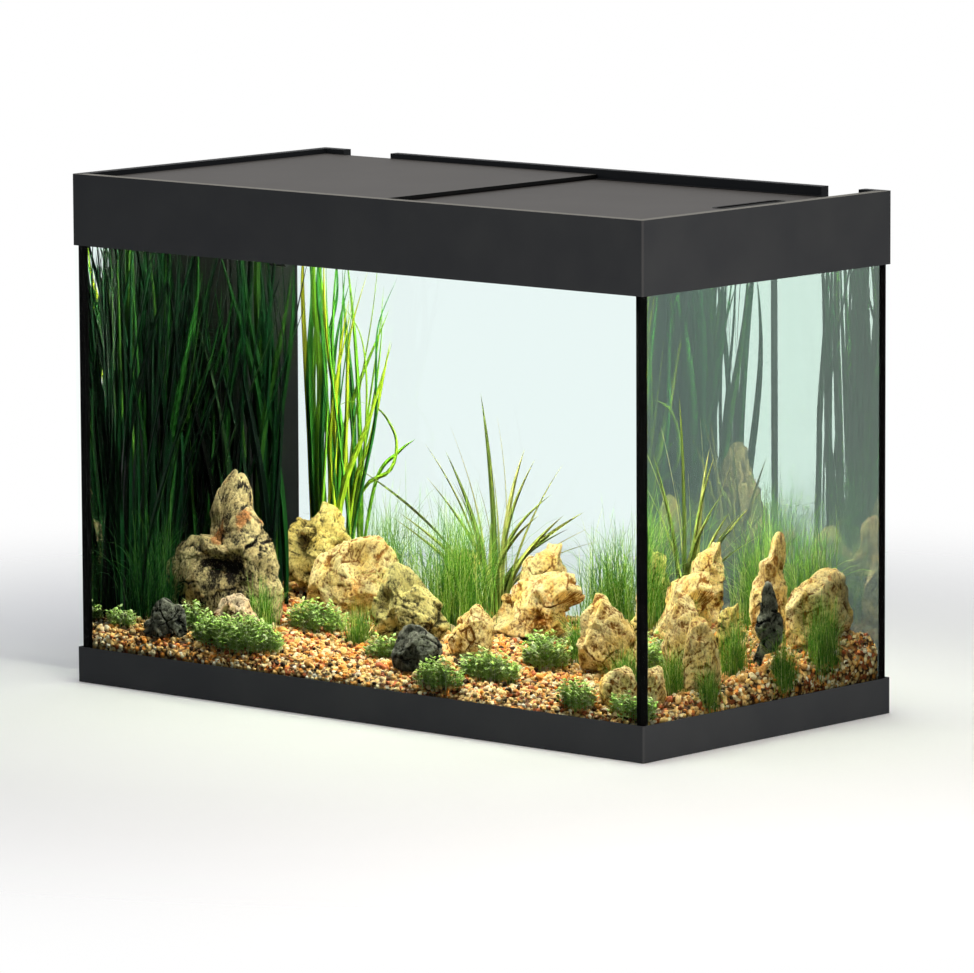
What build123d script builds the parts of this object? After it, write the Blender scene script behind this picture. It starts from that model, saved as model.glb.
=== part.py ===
from build123d import *
from math import cos, pi, sin
import os

# A planted glass aquarium that stands on its own base frame, with sliding covers, light bars and an inner
# filter. Sizes are in millimetres. The origin is on the floor under the middle of the tank, +X runs to the
# right, +Y to the back and +Z up.

# Outer size over the frame boards
width = 814.0
depth = 407.0
height = 560.0

# Frame boards: a full board with a thin lip that laps over the outside of the glass
board = 12.0
lip = 1.5
corner_facet = 1.6
top_board_height = 78.0
top_overlap = 30.0
base_board_height = 39.0
base_ledge = 18.0

# Glass tank and its black silicone
glass = 6.0
floor_glass = 8.0
seal = 1.0
bead_on_side = 9.0
bead_on_front = 2.0

# Glide pads let into the underside of the base boards
pad_radius = 4.5
pad_height = 3.0
pad_proud = 0.5
pad_from_corner = 90.0
pad_clearance = 0.1

# Corner keys and the screws used on keys, rails and light clips
key_leg = 40.0
key_thickness = 3.0
key_height = 11.0
key_lift = 1.0
screw_from_corner = 26.0
screw_shank_radius = 1.6
screw_grip = 8.0
screw_head_radius = 3.4
screw_head_height = 2.0
screw_clearance = 0.15

# Cable notches in the rear top board, each given by the distances of its walls from the nearer end
notch_floor_drop = 24.0
left_notch = (39.0, 110.0)
right_notch = (35.0, 85.5)

# Sliding covers on two levels and the stepped rails that carry them
cover_drop = 5.5
cover_step = 5.0
cover_thickness = 4.0
cover_overlap = 16.0
cover_end_gap = 0.5
cover_side_gap = 0.6
cover_lift = 0.2
cover_corner = 1.5
upper_ledge = 6.0
lower_ledge = 8.0
ledge_thickness = 3.5
rail_web = 4.0
rail_depth = 26.0
rail_screw_count = 5
rail_screw_rise = 5.0
rail_end_screw = 60.0

# Finger grip let into the lower cover
grip_length = 110.0
grip_width = 20.0
grip_depth = 1.6
grip_proud = 0.3
grip_from_right = 77.5
grip_from_rear = 108.9
grip_groove_width = 11.0
grip_groove_depth = 1.1
grip_clearance = 0.1

# Light bars that hang from clips on the side boards
light_spacing = 220.0
light_width = 26.0
light_height = 14.0
light_wall = 1.5
light_rib = 1.6
light_rib_height = 3.0
light_rib_count = 5
diffuser_height = 3.0
diffuser_clearance = 0.1
cap_length = 9.0
cap_clearance = 0.3
clip_thickness = 3.0
clip_reach = 11.0
clip_height = 17.0
clip_lift = 2.0

# Inner filter tower in the rear left corner
filter_width = 86.0
filter_depth_share = 0.4515
filter_wall = 3.0
filter_stand_off = 3.0
filter_headroom = 14.0
rear_chamber = 88.5
partition_gap = 34.0
filter_lid_thickness = 3.0
filter_tab_length = 24.0
filter_tab_width = 8.0
glue_pad_width = 20.0
glue_pad_height = 60.0
glue_pad_shares = (0.25, 0.75)
foam_clearance = 1.0
foam_headroom = 39.0
coarse_foam_share = 0.535

# Intake grille in the front of the filter tower
grille_width = 69.0
grille_height = 188.0
grille_bottom = 205.0
grille_clearance = 0.1
slit_width = 15.0
slit_height = 4.0
slit_pitch = 8.6
slit_columns = 3
slit_column_pitch = 21.0
slit_rows = 20

# Pump on its shelf behind the foams, with impeller, outlet pipe and swivelling nozzle
pump_size = 42.0
pump_height = 48.0
pump_corner = 6.0
pump_gap = 1.5
pump_below_top = 30.0
shelf_thickness = 3.0
well_radius = 9.5
well_floor = 10.0
volute_radius = 16.5
volute_height = 16.0
shaft_radius = 1.5
shaft_socket = 6.0
shaft_clearance = 0.05
rotor_radius = 9.0
rotor_gap = 0.3
impeller_hub_radius = 4.5
impeller_radius = 13.5
blade_thickness = 1.5
blade_height = 11.0
blade_count = 6
pump_cover_thickness = 3.0
intake_radius = 2.4
intake_circle = 10.0
intake_count = 6
outlet_drop = 9.0
pipe_radius = 8.0
pipe_bore = 6.5
pipe_socket = 3.0
pipe_reach = 12.0
pipe_clearance = 0.1
nozzle_clearance = 0.06
nozzle_wall = 2.4
nozzle_length = 26.0
nozzle_end = 3.0
nozzle_gap = 0.5
spout_radius = 8.0
spout_bore = 5.5
spout_length = 27.0

# Heater that hangs in the filter lid by its flange
heater_radius = 11.0
heater_length = 380.0
heater_end_round = 9.0
heater_head_radius = 13.0
heater_head_length = 30.0
heater_flange_radius = 17.0
heater_flange = 4.0
heater_from_rear = 25.0
heater_clearance = 0.3
dial_radius = 8.5
dial_height = 8.0
dial_gap = 0.3
dial_stub_radius = 3.0
dial_stub_length = 5.0
dial_clearance = 0.05
dial_flute_radius = 1.2
dial_flute_count = 12

# Ground: a gravel bed whose top slopes up to the back and down to the right
gravel_front = 50.0
gravel_rise = 43.0
gravel_fall = 16.0
gravel_clearance = 0.4
gravel_corner = 11.0

# Plants
leaf_thickness = 1.0
blade_of_grass = 1.6
leaf_seat = 0.1

glass_width = width - 2 * lip
glass_depth = depth - 2 * lip
inside_width = glass_width - 2 * glass
inside_depth = glass_depth - 2 * glass
floor_top = base_ledge + floor_glass
wall_bottom = floor_top + seal
glass_top = height - top_board_height + top_overlap
wall_height = glass_top - wall_bottom
inner_width = width - 2 * board
inner_depth = depth - 2 * board
notch_floor = height - notch_floor_drop
notch_walls = [
    (-width / 2 + left_notch[0], -width / 2 + left_notch[1]),
    (width / 2 - right_notch[1], width / 2 - right_notch[0]),
]

# Each frame side: a plane at the middle of its outer face, with local x along it and local y inwards,
# and its length
sides = {
    "front": (Plane(origin=(0, -depth / 2, 0), x_dir=(1, 0, 0), z_dir=(0, 0, 1)), width),
    "rear": (Plane(origin=(0, depth / 2, 0), x_dir=(-1, 0, 0), z_dir=(0, 0, 1)), width),
    "left": (Plane(origin=(-width / 2, 0, 0), x_dir=(0, -1, 0), z_dir=(0, 0, 1)), depth),
    "right": (Plane(origin=(width / 2, 0, 0), x_dir=(0, 1, 0), z_dir=(0, 0, 1)), depth),
}

os.makedirs("parts", exist_ok=True)


def save(built, label):
    """Label a finished piece and write it to its own STEP file."""
    built.part.label = label
    export_step(built.part, f"parts/{label}.step")


def inner_spot(side, along, level, stand_off=0.0):
    """Plane on the inner face of a frame side, facing into the tank."""
    plane = sides[side][0]
    origin = plane.from_local_coords((along, board + stand_off, level))
    return Plane(origin=origin, x_dir=plane.x_dir, z_dir=plane.y_dir)


def key_spots(side, level, stand_off=0.0):
    """The two places on a frame side where its corner keys are screwed on."""
    reach = sides[side][1] / 2 - board - screw_from_corner
    return [inner_spot(side, along, level, stand_off) for along in (-reach, reach)]


def rail_spots(side, stand_off=0.0):
    """The places on the front or rear board where a cover rail is screwed on."""
    reach = inner_width / 2 - rail_end_screw
    step = 2 * reach / (rail_screw_count - 1)
    return [
        inner_spot(side, -reach + step * index, rail_foot + rail_screw_rise, stand_off)
        for index in range(rail_screw_count)
    ]


# Frame boards

base_key_level = pad_proud + key_lift + key_height / 2
top_key_level = glass_top + key_lift + key_height / 2
left_cover_top = height - cover_drop
left_cover_bottom = left_cover_top - cover_thickness
right_cover_top = left_cover_top - cover_step
right_cover_bottom = right_cover_top - cover_thickness
upper_ledge_top = left_cover_bottom - cover_lift
lower_ledge_top = right_cover_bottom - cover_lift
rail_foot = upper_ledge_top - rail_depth


def board_plan(length, thickness):
    """Plan of a mitred board, with the sharp outer corners taken off by a small facet."""
    half = length / 2
    return [
        (-half + corner_facet, 0),
        (half - corner_facet, 0),
        (half - corner_facet / 2, corner_facet / 2),
        (half - thickness, thickness),
        (-half + thickness, thickness),
        (-half + corner_facet / 2, corner_facet / 2),
    ]


def pad_planes(side):
    """Planes on the underside of a base board, facing down, at its two glide pads."""
    plane, length = sides[side]
    reach = length / 2 - pad_from_corner
    centres = [plane.from_local_coords((along, board / 2, pad_proud)) for along in (-reach, reach)]
    return [Plane(origin=centre, x_dir=(1, 0, 0), z_dir=(0, 0, -1)) for centre in centres]


for side, (plane, length) in sides.items():
    with BuildPart() as base_board:
        for low, high, thickness in ((pad_proud, base_ledge, board), (base_ledge, base_board_height, lip)):
            with BuildSketch(plane.offset(low)):
                with BuildLine():
                    Polyline(*board_plan(length, thickness), close=True)
                make_face()
            extrude(amount=high - low)
        with Locations(*key_spots(side, base_key_level)):
            Hole(radius=screw_shank_radius + screw_clearance, depth=screw_grip)
        with Locations(*pad_planes(side)):
            Hole(radius=pad_radius + pad_clearance, depth=pad_height - pad_proud)
    save(base_board, f"base_{side}_board")

for side, (plane, length) in sides.items():
    with BuildPart() as top_board:
        for low, high, thickness in ((height - top_board_height, glass_top, lip), (glass_top, height, board)):
            with BuildSketch(plane.offset(low)):
                with BuildLine():
                    Polyline(*board_plan(length, thickness), close=True)
                make_face()
            extrude(amount=high - low)
        with Locations(*key_spots(side, top_key_level)):
            Hole(radius=screw_shank_radius + screw_clearance, depth=screw_grip)
        if side in ("front", "rear"):
            with Locations(*rail_spots(side)):
                Hole(radius=screw_shank_radius + screw_clearance, depth=screw_grip)
        if side == "rear":
            for left_wall, right_wall in notch_walls:
                with BuildSketch(Plane.XY.offset(notch_floor)):
                    with Locations(((left_wall + right_wall) / 2, (depth - board) / 2)):
                        Rectangle(right_wall - left_wall, 2 * board)
                extrude(amount=notch_floor_drop, mode=Mode.SUBTRACT)
    save(top_board, f"top_{side}_board")

with BuildPart() as glide_pads:
    for side in sides:
        with Locations(*[plane.offset(pad_proud) for plane in pad_planes(side)]):
            Cylinder(pad_radius, pad_height, align=(Align.CENTER, Align.CENTER, Align.MAX))
save(glide_pads, "glide_pads")


def corner_key_plan(sign_x, sign_y):
    """Plan of an angle that lies in one inner corner of the frame."""
    x = sign_x * inner_width / 2
    y = sign_y * inner_depth / 2
    return [
        (x, y),
        (x - sign_x * key_leg, y),
        (x - sign_x * key_leg, y - sign_y * key_thickness),
        (x - sign_x * key_thickness, y - sign_y * key_thickness),
        (x - sign_x * key_thickness, y - sign_y * key_leg),
        (x, y - sign_y * key_leg),
    ]


corner_signs = [(sign_x, sign_y) for sign_x in (-1, 1) for sign_y in (-1, 1)]

for name, level in (("base", base_key_level), ("top", top_key_level)):
    with BuildPart() as corner_keys:
        for sign_x, sign_y in corner_signs:
            with BuildSketch(Plane.XY.offset(level - key_height / 2)):
                with BuildLine():
                    Polyline(*corner_key_plan(sign_x, sign_y), close=True)
                make_face()
            extrude(amount=key_height)
        for side in sides:
            with Locations(*key_spots(side, level, key_thickness)):
                Hole(radius=screw_shank_radius + screw_clearance, depth=key_thickness)
    save(corner_keys, f"{name}_corner_keys")

    with BuildPart() as key_screws:
        for side in sides:
            with Locations(*key_spots(side, level, key_thickness)):
                Cylinder(screw_head_radius, screw_head_height, align=(Align.CENTER, Align.CENTER, Align.MIN))
                Cylinder(screw_shank_radius, key_thickness + screw_grip - screw_clearance,
                         align=(Align.CENTER, Align.CENTER, Align.MAX))
    save(key_screws, f"{name}_key_screws")

# Glass tank

with BuildPart() as bottom_pane:
    with BuildSketch(Plane.XY.offset(base_ledge)):
        Rectangle(glass_width, glass_depth)
    extrude(amount=floor_glass)
save(bottom_pane, "bottom_pane")

for name, sign_y in (("front", -1), ("rear", 1)):
    with BuildPart() as long_pane:
        with BuildSketch(Plane.XY.offset(wall_bottom)):
            with Locations((0, sign_y * (inside_depth + glass) / 2)):
                Rectangle(glass_width, glass)
        extrude(amount=wall_height)
    save(long_pane, f"{name}_pane")

for name, sign_x in (("left", -1), ("right", 1)):
    with BuildPart() as side_pane:
        with BuildSketch(Plane.XY.offset(wall_bottom)):
            with Locations((sign_x * (inside_width + glass) / 2, 0)):
                Rectangle(glass, inside_depth - 2 * seal)
        extrude(amount=wall_height)
    save(side_pane, f"{name}_pane")

with BuildPart() as floor_seals:
    with BuildSketch(Plane.XY.offset(floor_top)):
        with Locations((0, -(inside_depth + glass) / 2), (0, (inside_depth + glass) / 2)):
            Rectangle(glass_width, glass)
    extrude(amount=seal)
    with BuildSketch(Plane.XY.offset(floor_top)):
        with Locations((-(inside_width + glass) / 2, 0), ((inside_width + glass) / 2, 0)):
            Rectangle(glass, inside_depth)
    extrude(amount=seal)
save(floor_seals, "floor_seals")

with BuildPart() as corner_seals:
    for sign_x, sign_y in corner_signs:
        x = sign_x * inside_width / 2
        y = sign_y * inside_depth / 2
        hollow = (x - sign_x * bead_on_front / 4, y - sign_y * bead_on_side / 4)
        with BuildSketch(Plane.XY.offset(wall_bottom)):
            with BuildLine():
                Polyline(
                    (x - sign_x * bead_on_front, y),
                    (x + sign_x * glass, y),
                    (x + sign_x * glass, y - sign_y * seal),
                    (x, y - sign_y * seal),
                    (x, y - sign_y * bead_on_side),
                )
                ThreePointArc((x, y - sign_y * bead_on_side), hollow, (x - sign_x * bead_on_front, y))
            make_face()
        extrude(amount=wall_height)
save(corner_seals, "corner_seals")

# Cover rails and sliding covers

rail_reach = upper_ledge + lower_ledge
rail_profile = [
    (0, rail_foot),
    (rail_web, rail_foot),
    (rail_web, lower_ledge_top - ledge_thickness),
    (rail_reach, lower_ledge_top - ledge_thickness),
    (rail_reach, lower_ledge_top),
    (upper_ledge, lower_ledge_top),
    (upper_ledge, upper_ledge_top),
    (0, upper_ledge_top),
]

for side, inwards in (("front", 1), ("rear", -1)):
    rail_face = -inwards * inner_depth / 2
    section_plane = Plane(origin=(0, rail_face, 0), x_dir=(0, inwards, 0), z_dir=(inwards, 0, 0))
    with BuildPart() as cover_rail:
        with BuildSketch(section_plane):
            with BuildLine():
                Polyline(*rail_profile, close=True)
            make_face()
        extrude(amount=inner_width / 2, both=True)
        with Locations(*rail_spots(side, rail_web)):
            Hole(radius=screw_shank_radius + screw_clearance, depth=rail_web)
        if side == "rear":
            for left_wall, right_wall in notch_walls:
                with BuildSketch(Plane.XY.offset(notch_floor)):
                    with Locations(((left_wall + right_wall) / 2, inner_depth / 2)):
                        Rectangle(right_wall - left_wall, 4 * rail_reach)
                extrude(amount=notch_floor_drop, mode=Mode.SUBTRACT)
    save(cover_rail, f"{side}_cover_rail")

with BuildPart() as rail_screws:
    for side in ("front", "rear"):
        with Locations(*rail_spots(side, rail_web)):
            Cylinder(screw_head_radius, screw_head_height, align=(Align.CENTER, Align.CENTER, Align.MIN))
            Cylinder(screw_shank_radius, rail_web + screw_grip - screw_clearance,
                     align=(Align.CENTER, Align.CENTER, Align.MAX))
save(rail_screws, "rail_screws")

left_cover_left = -inner_width / 2 + cover_end_gap
left_cover_right = cover_overlap / 2
left_cover_depth = inner_depth - 2 * cover_side_gap
with BuildPart() as left_cover:
    with BuildSketch(Plane.XY.offset(left_cover_bottom)):
        with Locations(((left_cover_left + left_cover_right) / 2, 0)):
            RectangleRounded(left_cover_right - left_cover_left, left_cover_depth, cover_corner)
    extrude(amount=cover_thickness)
save(left_cover, "left_cover")

right_cover_left = -cover_overlap / 2
right_cover_right = inner_width / 2 - cover_end_gap
right_cover_depth = inner_depth - 2 * upper_ledge - 2 * cover_side_gap
grip_x = right_cover_right - grip_from_right
grip_y = right_cover_depth / 2 - grip_from_rear
with BuildPart() as right_cover:
    with BuildSketch(Plane.XY.offset(right_cover_bottom)):
        with Locations(((right_cover_left + right_cover_right) / 2, 0)):
            RectangleRounded(right_cover_right - right_cover_left, right_cover_depth, cover_corner)
    extrude(amount=cover_thickness)
    with BuildSketch(Plane.XY.offset(right_cover_top)):
        with Locations((grip_x, grip_y)):
            SlotOverall(grip_length + 2 * grip_clearance, grip_width + 2 * grip_clearance, rotation=90)
    extrude(amount=-grip_depth, mode=Mode.SUBTRACT)
save(right_cover, "right_cover")

with BuildPart() as finger_grip:
    with BuildSketch(Plane.XY.offset(right_cover_top - grip_depth)):
        with Locations((grip_x, grip_y)):
            SlotOverall(grip_length, grip_width, rotation=90)
    extrude(amount=grip_depth + grip_proud)
    with BuildSketch(Plane.XY.offset(right_cover_top + grip_proud)):
        with Locations((grip_x, grip_y)):
            SlotOverall(grip_length - grip_width + grip_groove_width, grip_groove_width, rotation=90)
    extrude(amount=-grip_groove_depth, mode=Mode.SUBTRACT)
save(finger_grip, "finger_grip")

# Light bars

light_rows = (-light_spacing / 2, light_spacing / 2)
clip_bottom = glass_top + clip_lift
light_bottom = clip_bottom + clip_thickness
cap_outer_x = inner_width / 2 - clip_thickness - cap_clearance
light_length = 2 * (cap_outer_x - cap_length)
light_rib_pitch = (light_width - light_rib) / (light_rib_count - 1)

with BuildPart() as light_housings:
    for row in light_rows:
        with BuildSketch(Plane.YZ):
            with Locations((row, light_bottom + light_height / 2)):
                Rectangle(light_width, light_height)
            with Locations((row, light_bottom + (light_height - light_rib_height - light_wall) / 2)):
                Rectangle(light_width - 2 * light_wall, light_height - light_rib_height - light_wall,
                          mode=Mode.SUBTRACT)
            with Locations((row, light_bottom + light_height - light_rib_height / 2)):
                with GridLocations(light_rib_pitch, 0, light_rib_count - 1, 1):
                    Rectangle(light_rib_pitch - light_rib, light_rib_height, mode=Mode.SUBTRACT)
        extrude(amount=light_length / 2, both=True)
save(light_housings, "light_housings")

with BuildPart() as light_diffusers:
    for row in light_rows:
        with BuildSketch(Plane.YZ):
            with Locations((row, light_bottom + diffuser_height / 2)):
                Rectangle(light_width - 2 * light_wall - 2 * diffuser_clearance, diffuser_height)
        extrude(amount=light_length / 2, both=True)
save(light_diffusers, "light_diffusers")

with BuildPart() as light_end_caps:
    for row in light_rows:
        for sign_x in (-1, 1):
            with BuildSketch(Plane.XY.offset(light_bottom)):
                with Locations((sign_x * (cap_outer_x - cap_length / 2), row)):
                    Rectangle(cap_length, light_width)
            extrude(amount=light_height)
    chamfer(light_end_caps.faces().filter_by(Axis.Z).group_by(Axis.Z)[-1].edges(), length=light_wall)
save(light_end_caps, "light_end_caps")

with BuildPart() as light_clips:
    for row in light_rows:
        for sign_x in (-1, 1):
            clip_plane = Plane(origin=(sign_x * inner_width / 2, row, clip_bottom), x_dir=(-sign_x, 0, 0),
                               z_dir=(0, sign_x, 0))
            with BuildSketch(clip_plane):
                with BuildLine():
                    Polyline(
                        (0, 0),
                        (clip_reach, 0),
                        (clip_reach, clip_thickness),
                        (clip_thickness, clip_thickness),
                        (clip_thickness, clip_height),
                        (0, clip_height),
                        close=True,
                    )
                make_face()
            extrude(amount=light_width / 2, both=True)
save(light_clips, "light_clips")

# Inner filter tower

filter_left = -inside_width / 2 + filter_stand_off
filter_right = filter_left + filter_width
filter_rear = inside_depth / 2 - filter_stand_off
filter_depth = filter_depth_share * inside_depth
filter_front = filter_rear - filter_depth
filter_x = (filter_left + filter_right) / 2
filter_y = (filter_front + filter_rear) / 2
filter_top = glass_top - filter_headroom
filter_floor = floor_top + filter_wall
heater_y = filter_rear - heater_from_rear
chamber_width = filter_width - 2 * filter_wall
front_chamber = filter_depth - 3 * filter_wall - rear_chamber
front_chamber_y = filter_front + filter_wall + front_chamber / 2
partition_y = filter_front + filter_wall + front_chamber + filter_wall / 2
rear_chamber_front = partition_y + filter_wall / 2
pump_x = filter_right - filter_wall - pump_gap - pump_size / 2
pump_y = rear_chamber_front + pump_gap + pump_size / 2
pump_top = filter_top - pump_below_top
pump_bottom = pump_top - pump_height
outlet_level = pump_top - outlet_drop
shelf_depth = pump_size + 2 * pump_gap

with BuildPart() as filter_housing:
    with BuildSketch(Plane.XY.offset(floor_top)):
        with Locations((filter_x, filter_y)):
            Rectangle(filter_width, filter_depth)
    extrude(amount=filter_top - floor_top)
    with BuildSketch(Plane.XY.offset(filter_floor)):
        with Locations((filter_x, front_chamber_y)):
            Rectangle(chamber_width, front_chamber)
        with Locations((filter_x, rear_chamber_front + rear_chamber / 2)):
            Rectangle(chamber_width, rear_chamber)
    extrude(amount=filter_top - filter_floor, mode=Mode.SUBTRACT)
    with BuildSketch(Plane.XY.offset(filter_floor)):
        with Locations((filter_x, partition_y)):
            Rectangle(chamber_width, filter_wall)
    extrude(amount=partition_gap, mode=Mode.SUBTRACT)
    with BuildSketch(Plane.XY.offset(pump_bottom - shelf_thickness)):
        with Locations((filter_x, rear_chamber_front + shelf_depth / 2)):
            Rectangle(chamber_width, shelf_depth)
    extrude(amount=shelf_thickness)
    with BuildSketch(Plane.XZ.offset(-filter_front)):
        with Locations((filter_x, grille_bottom + grille_height / 2)):
            Rectangle(grille_width, grille_height)
    extrude(amount=-filter_wall, mode=Mode.SUBTRACT)
    with BuildSketch(Plane.YZ.offset(filter_right)):
        with Locations((pump_y, outlet_level)):
            Circle(pipe_radius + pipe_clearance)
    extrude(amount=-filter_wall, mode=Mode.SUBTRACT)
save(filter_housing, "filter_housing")

with BuildPart() as intake_grille:
    with BuildSketch(Plane.XZ.offset(-filter_front)):
        with Locations((filter_x, grille_bottom + grille_height / 2)):
            Rectangle(grille_width - 2 * grille_clearance, grille_height - 2 * grille_clearance)
            with GridLocations(slit_column_pitch, slit_pitch, slit_columns, slit_rows):
                Rectangle(slit_width, slit_height, mode=Mode.SUBTRACT)
    extrude(amount=-filter_wall)
save(intake_grille, "intake_grille")

with BuildPart() as filter_lid:
    with BuildSketch(Plane.XY.offset(filter_top)):
        with Locations((filter_x, filter_y)):
            Rectangle(filter_width, filter_depth)
        with Locations((filter_x, filter_front - filter_tab_width / 2)):
            Rectangle(filter_tab_length, filter_tab_width)
        with Locations((filter_x, heater_y)):
            Circle(heater_head_radius + heater_clearance, mode=Mode.SUBTRACT)
    extrude(amount=filter_lid_thickness)
save(filter_lid, "filter_lid")

pad_levels = [floor_top + (filter_top - floor_top) * share for share in glue_pad_shares]
with BuildPart() as glue_pads:
    for level in pad_levels:
        with BuildSketch(Plane.YZ.offset(-inside_width / 2)):
            with Locations((filter_front + filter_depth / 4, level), (filter_y + filter_depth / 8, level)):
                Rectangle(glue_pad_width, glue_pad_height)
        extrude(amount=filter_stand_off)
        with BuildSketch(Plane.XZ.offset(-filter_rear)):
            with Locations((filter_x, level)):
                Rectangle(glue_pad_width, glue_pad_height)
        extrude(amount=-filter_stand_off)
save(glue_pads, "glue_pads")

foam_width = chamber_width - 2 * foam_clearance
foam_depth = front_chamber - 2 * foam_clearance
foam_height = filter_top - filter_floor - foam_headroom
coarse_foam_height = coarse_foam_share * foam_height
fine_foam_height = foam_height - coarse_foam_height
with BuildPart() as coarse_foam:
    with BuildSketch(Plane.XY.offset(filter_floor)):
        with Locations((filter_x, front_chamber_y)):
            Rectangle(foam_width, foam_depth)
    extrude(amount=coarse_foam_height)
save(coarse_foam, "coarse_foam")

with BuildPart() as fine_foam:
    with BuildSketch(Plane.XY.offset(filter_floor + coarse_foam_height)):
        with Locations((filter_x, front_chamber_y)):
            Rectangle(foam_width, foam_depth)
    extrude(amount=fine_foam_height)
save(fine_foam, "fine_foam")

# Pump, impeller and outlet

pump_axis = Plane(origin=(pump_x, pump_y, 0))
well_bottom = pump_bottom + well_floor
volute_bottom = pump_top - volute_height
pump_face = pump_x + pump_size / 2

with BuildPart() as pump_body:
    with BuildSketch(pump_axis.offset(pump_bottom)):
        RectangleRounded(pump_size, pump_size, pump_corner)
    extrude(amount=pump_height)
    with BuildSketch(pump_axis.offset(volute_bottom)):
        Circle(volute_radius)
    extrude(amount=volute_height, mode=Mode.SUBTRACT)
    with BuildSketch(pump_axis.offset(well_bottom)):
        Circle(well_radius)
    extrude(amount=volute_bottom - well_bottom, mode=Mode.SUBTRACT)
    with BuildSketch(pump_axis.offset(well_bottom)):
        Circle(shaft_radius + shaft_clearance)
    extrude(amount=-shaft_socket, mode=Mode.SUBTRACT)
    with BuildSketch(Plane.YZ.offset(pump_face)):
        with Locations((pump_y, outlet_level)):
            Circle(pipe_bore)
    extrude(amount=-pump_size / 2, mode=Mode.SUBTRACT)
    with BuildSketch(Plane.YZ.offset(pump_face)):
        with Locations((pump_y, outlet_level)):
            Circle(pipe_radius + pipe_clearance)
    extrude(amount=-pipe_socket, mode=Mode.SUBTRACT)
save(pump_body, "pump_body")

shaft_top = pump_top + pump_cover_thickness / 2
with BuildPart() as impeller_cover:
    with BuildSketch(pump_axis.offset(pump_top)):
        RectangleRounded(pump_size, pump_size, pump_corner)
        with PolarLocations(intake_circle, intake_count):
            Circle(intake_radius, mode=Mode.SUBTRACT)
    extrude(amount=pump_cover_thickness)
    with BuildSketch(pump_axis.offset(pump_top)):
        Circle(shaft_radius + shaft_clearance)
    extrude(amount=pump_cover_thickness / 2, mode=Mode.SUBTRACT)
save(impeller_cover, "impeller_cover")

with BuildPart() as impeller_shaft:
    with BuildSketch(pump_axis.offset(well_bottom - shaft_socket)):
        Circle(shaft_radius)
    extrude(amount=shaft_top - well_bottom + shaft_socket)
save(impeller_shaft, "impeller_shaft")

rotor_bottom = well_bottom + rotor_gap
with BuildPart() as impeller:
    with BuildSketch(pump_axis.offset(rotor_bottom)):
        Circle(rotor_radius)
    extrude(amount=volute_bottom - rotor_bottom)
    with BuildSketch(pump_axis.offset(volute_bottom)):
        Circle(impeller_hub_radius)
        with PolarLocations((impeller_hub_radius + impeller_radius) / 2, blade_count):
            Rectangle(impeller_radius - impeller_hub_radius + blade_thickness, blade_thickness)
    extrude(amount=blade_height)
    with BuildSketch(pump_axis.offset(rotor_bottom)):
        Circle(shaft_radius + shaft_clearance)
    extrude(amount=volute_bottom + blade_height - rotor_bottom, mode=Mode.SUBTRACT)
save(impeller, "impeller")

pipe_start = pump_face - pipe_socket
pipe_end = filter_right + pipe_reach
with BuildPart() as outlet_pipe:
    with BuildSketch(Plane.YZ.offset(pipe_start)):
        with Locations((pump_y, outlet_level)):
            Circle(pipe_radius)
            Circle(pipe_bore, mode=Mode.SUBTRACT)
    extrude(amount=pipe_end - pipe_start)
save(outlet_pipe, "outlet_pipe")

nozzle_start = filter_right + nozzle_gap
nozzle_radius = pipe_radius + nozzle_clearance + nozzle_wall
spout_x = nozzle_start + nozzle_length - nozzle_end - spout_bore
with BuildPart() as outlet_nozzle:
    with BuildSketch(Plane.YZ.offset(nozzle_start)):
        with Locations((pump_y, outlet_level)):
            Circle(nozzle_radius)
    extrude(amount=nozzle_length)
    with BuildSketch(Plane.XZ.offset(-pump_y)):
        with Locations((spout_x, outlet_level)):
            Circle(spout_radius)
    extrude(amount=spout_length)
    with BuildSketch(Plane.YZ.offset(nozzle_start)):
        with Locations((pump_y, outlet_level)):
            Circle(pipe_radius + nozzle_clearance)
    extrude(amount=nozzle_length - nozzle_end, mode=Mode.SUBTRACT)
    with BuildSketch(Plane.XZ.offset(-pump_y)):
        with Locations((spout_x, outlet_level)):
            Circle(spout_bore)
    extrude(amount=spout_length, mode=Mode.SUBTRACT)
save(outlet_nozzle, "outlet_nozzle")

# Heater

heater_axis = Plane(origin=(filter_x, heater_y, 0))
flange_bottom = filter_top + filter_lid_thickness
flange_top = flange_bottom + heater_flange
head_bottom = flange_bottom - heater_head_length

with BuildPart() as heater_head:
    with BuildSketch(heater_axis.offset(head_bottom)):
        Circle(heater_head_radius)
    extrude(amount=heater_head_length)
    with BuildSketch(heater_axis.offset(flange_bottom)):
        Circle(heater_flange_radius)
    extrude(amount=heater_flange)
    with BuildSketch(heater_axis.offset(flange_top)):
        Circle(dial_stub_radius + dial_clearance)
    extrude(amount=-dial_stub_length - dial_gap, mode=Mode.SUBTRACT)
save(heater_head, "heater_head")

with BuildPart() as heater_tube:
    with BuildSketch(heater_axis.offset(head_bottom)):
        Circle(heater_radius)
    extrude(amount=-heater_length)
    fillet(heater_tube.faces().sort_by(Axis.Z)[0].edges(), radius=heater_end_round)
save(heater_tube, "heater_tube")

with BuildPart() as heater_dial:
    with BuildSketch(heater_axis.offset(flange_top + dial_gap)):
        Circle(dial_radius)
        with PolarLocations(dial_radius, dial_flute_count):
            Circle(dial_flute_radius, mode=Mode.SUBTRACT)
    extrude(amount=dial_height)
    with BuildSketch(heater_axis.offset(flange_top + dial_gap)):
        Circle(dial_stub_radius)
    extrude(amount=-dial_stub_length)
save(heater_dial, "heater_dial")

# Gravel bed, with a notch round the filter tower

gravel_plane = Plane(
    origin=(0, -inside_depth / 2, gravel_front),
    z_dir=(gravel_fall / inside_width, -gravel_rise / inside_depth, 1),
)
gravel_x = inside_width / 2 - gravel_clearance
gravel_y = inside_depth / 2 - gravel_clearance

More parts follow.
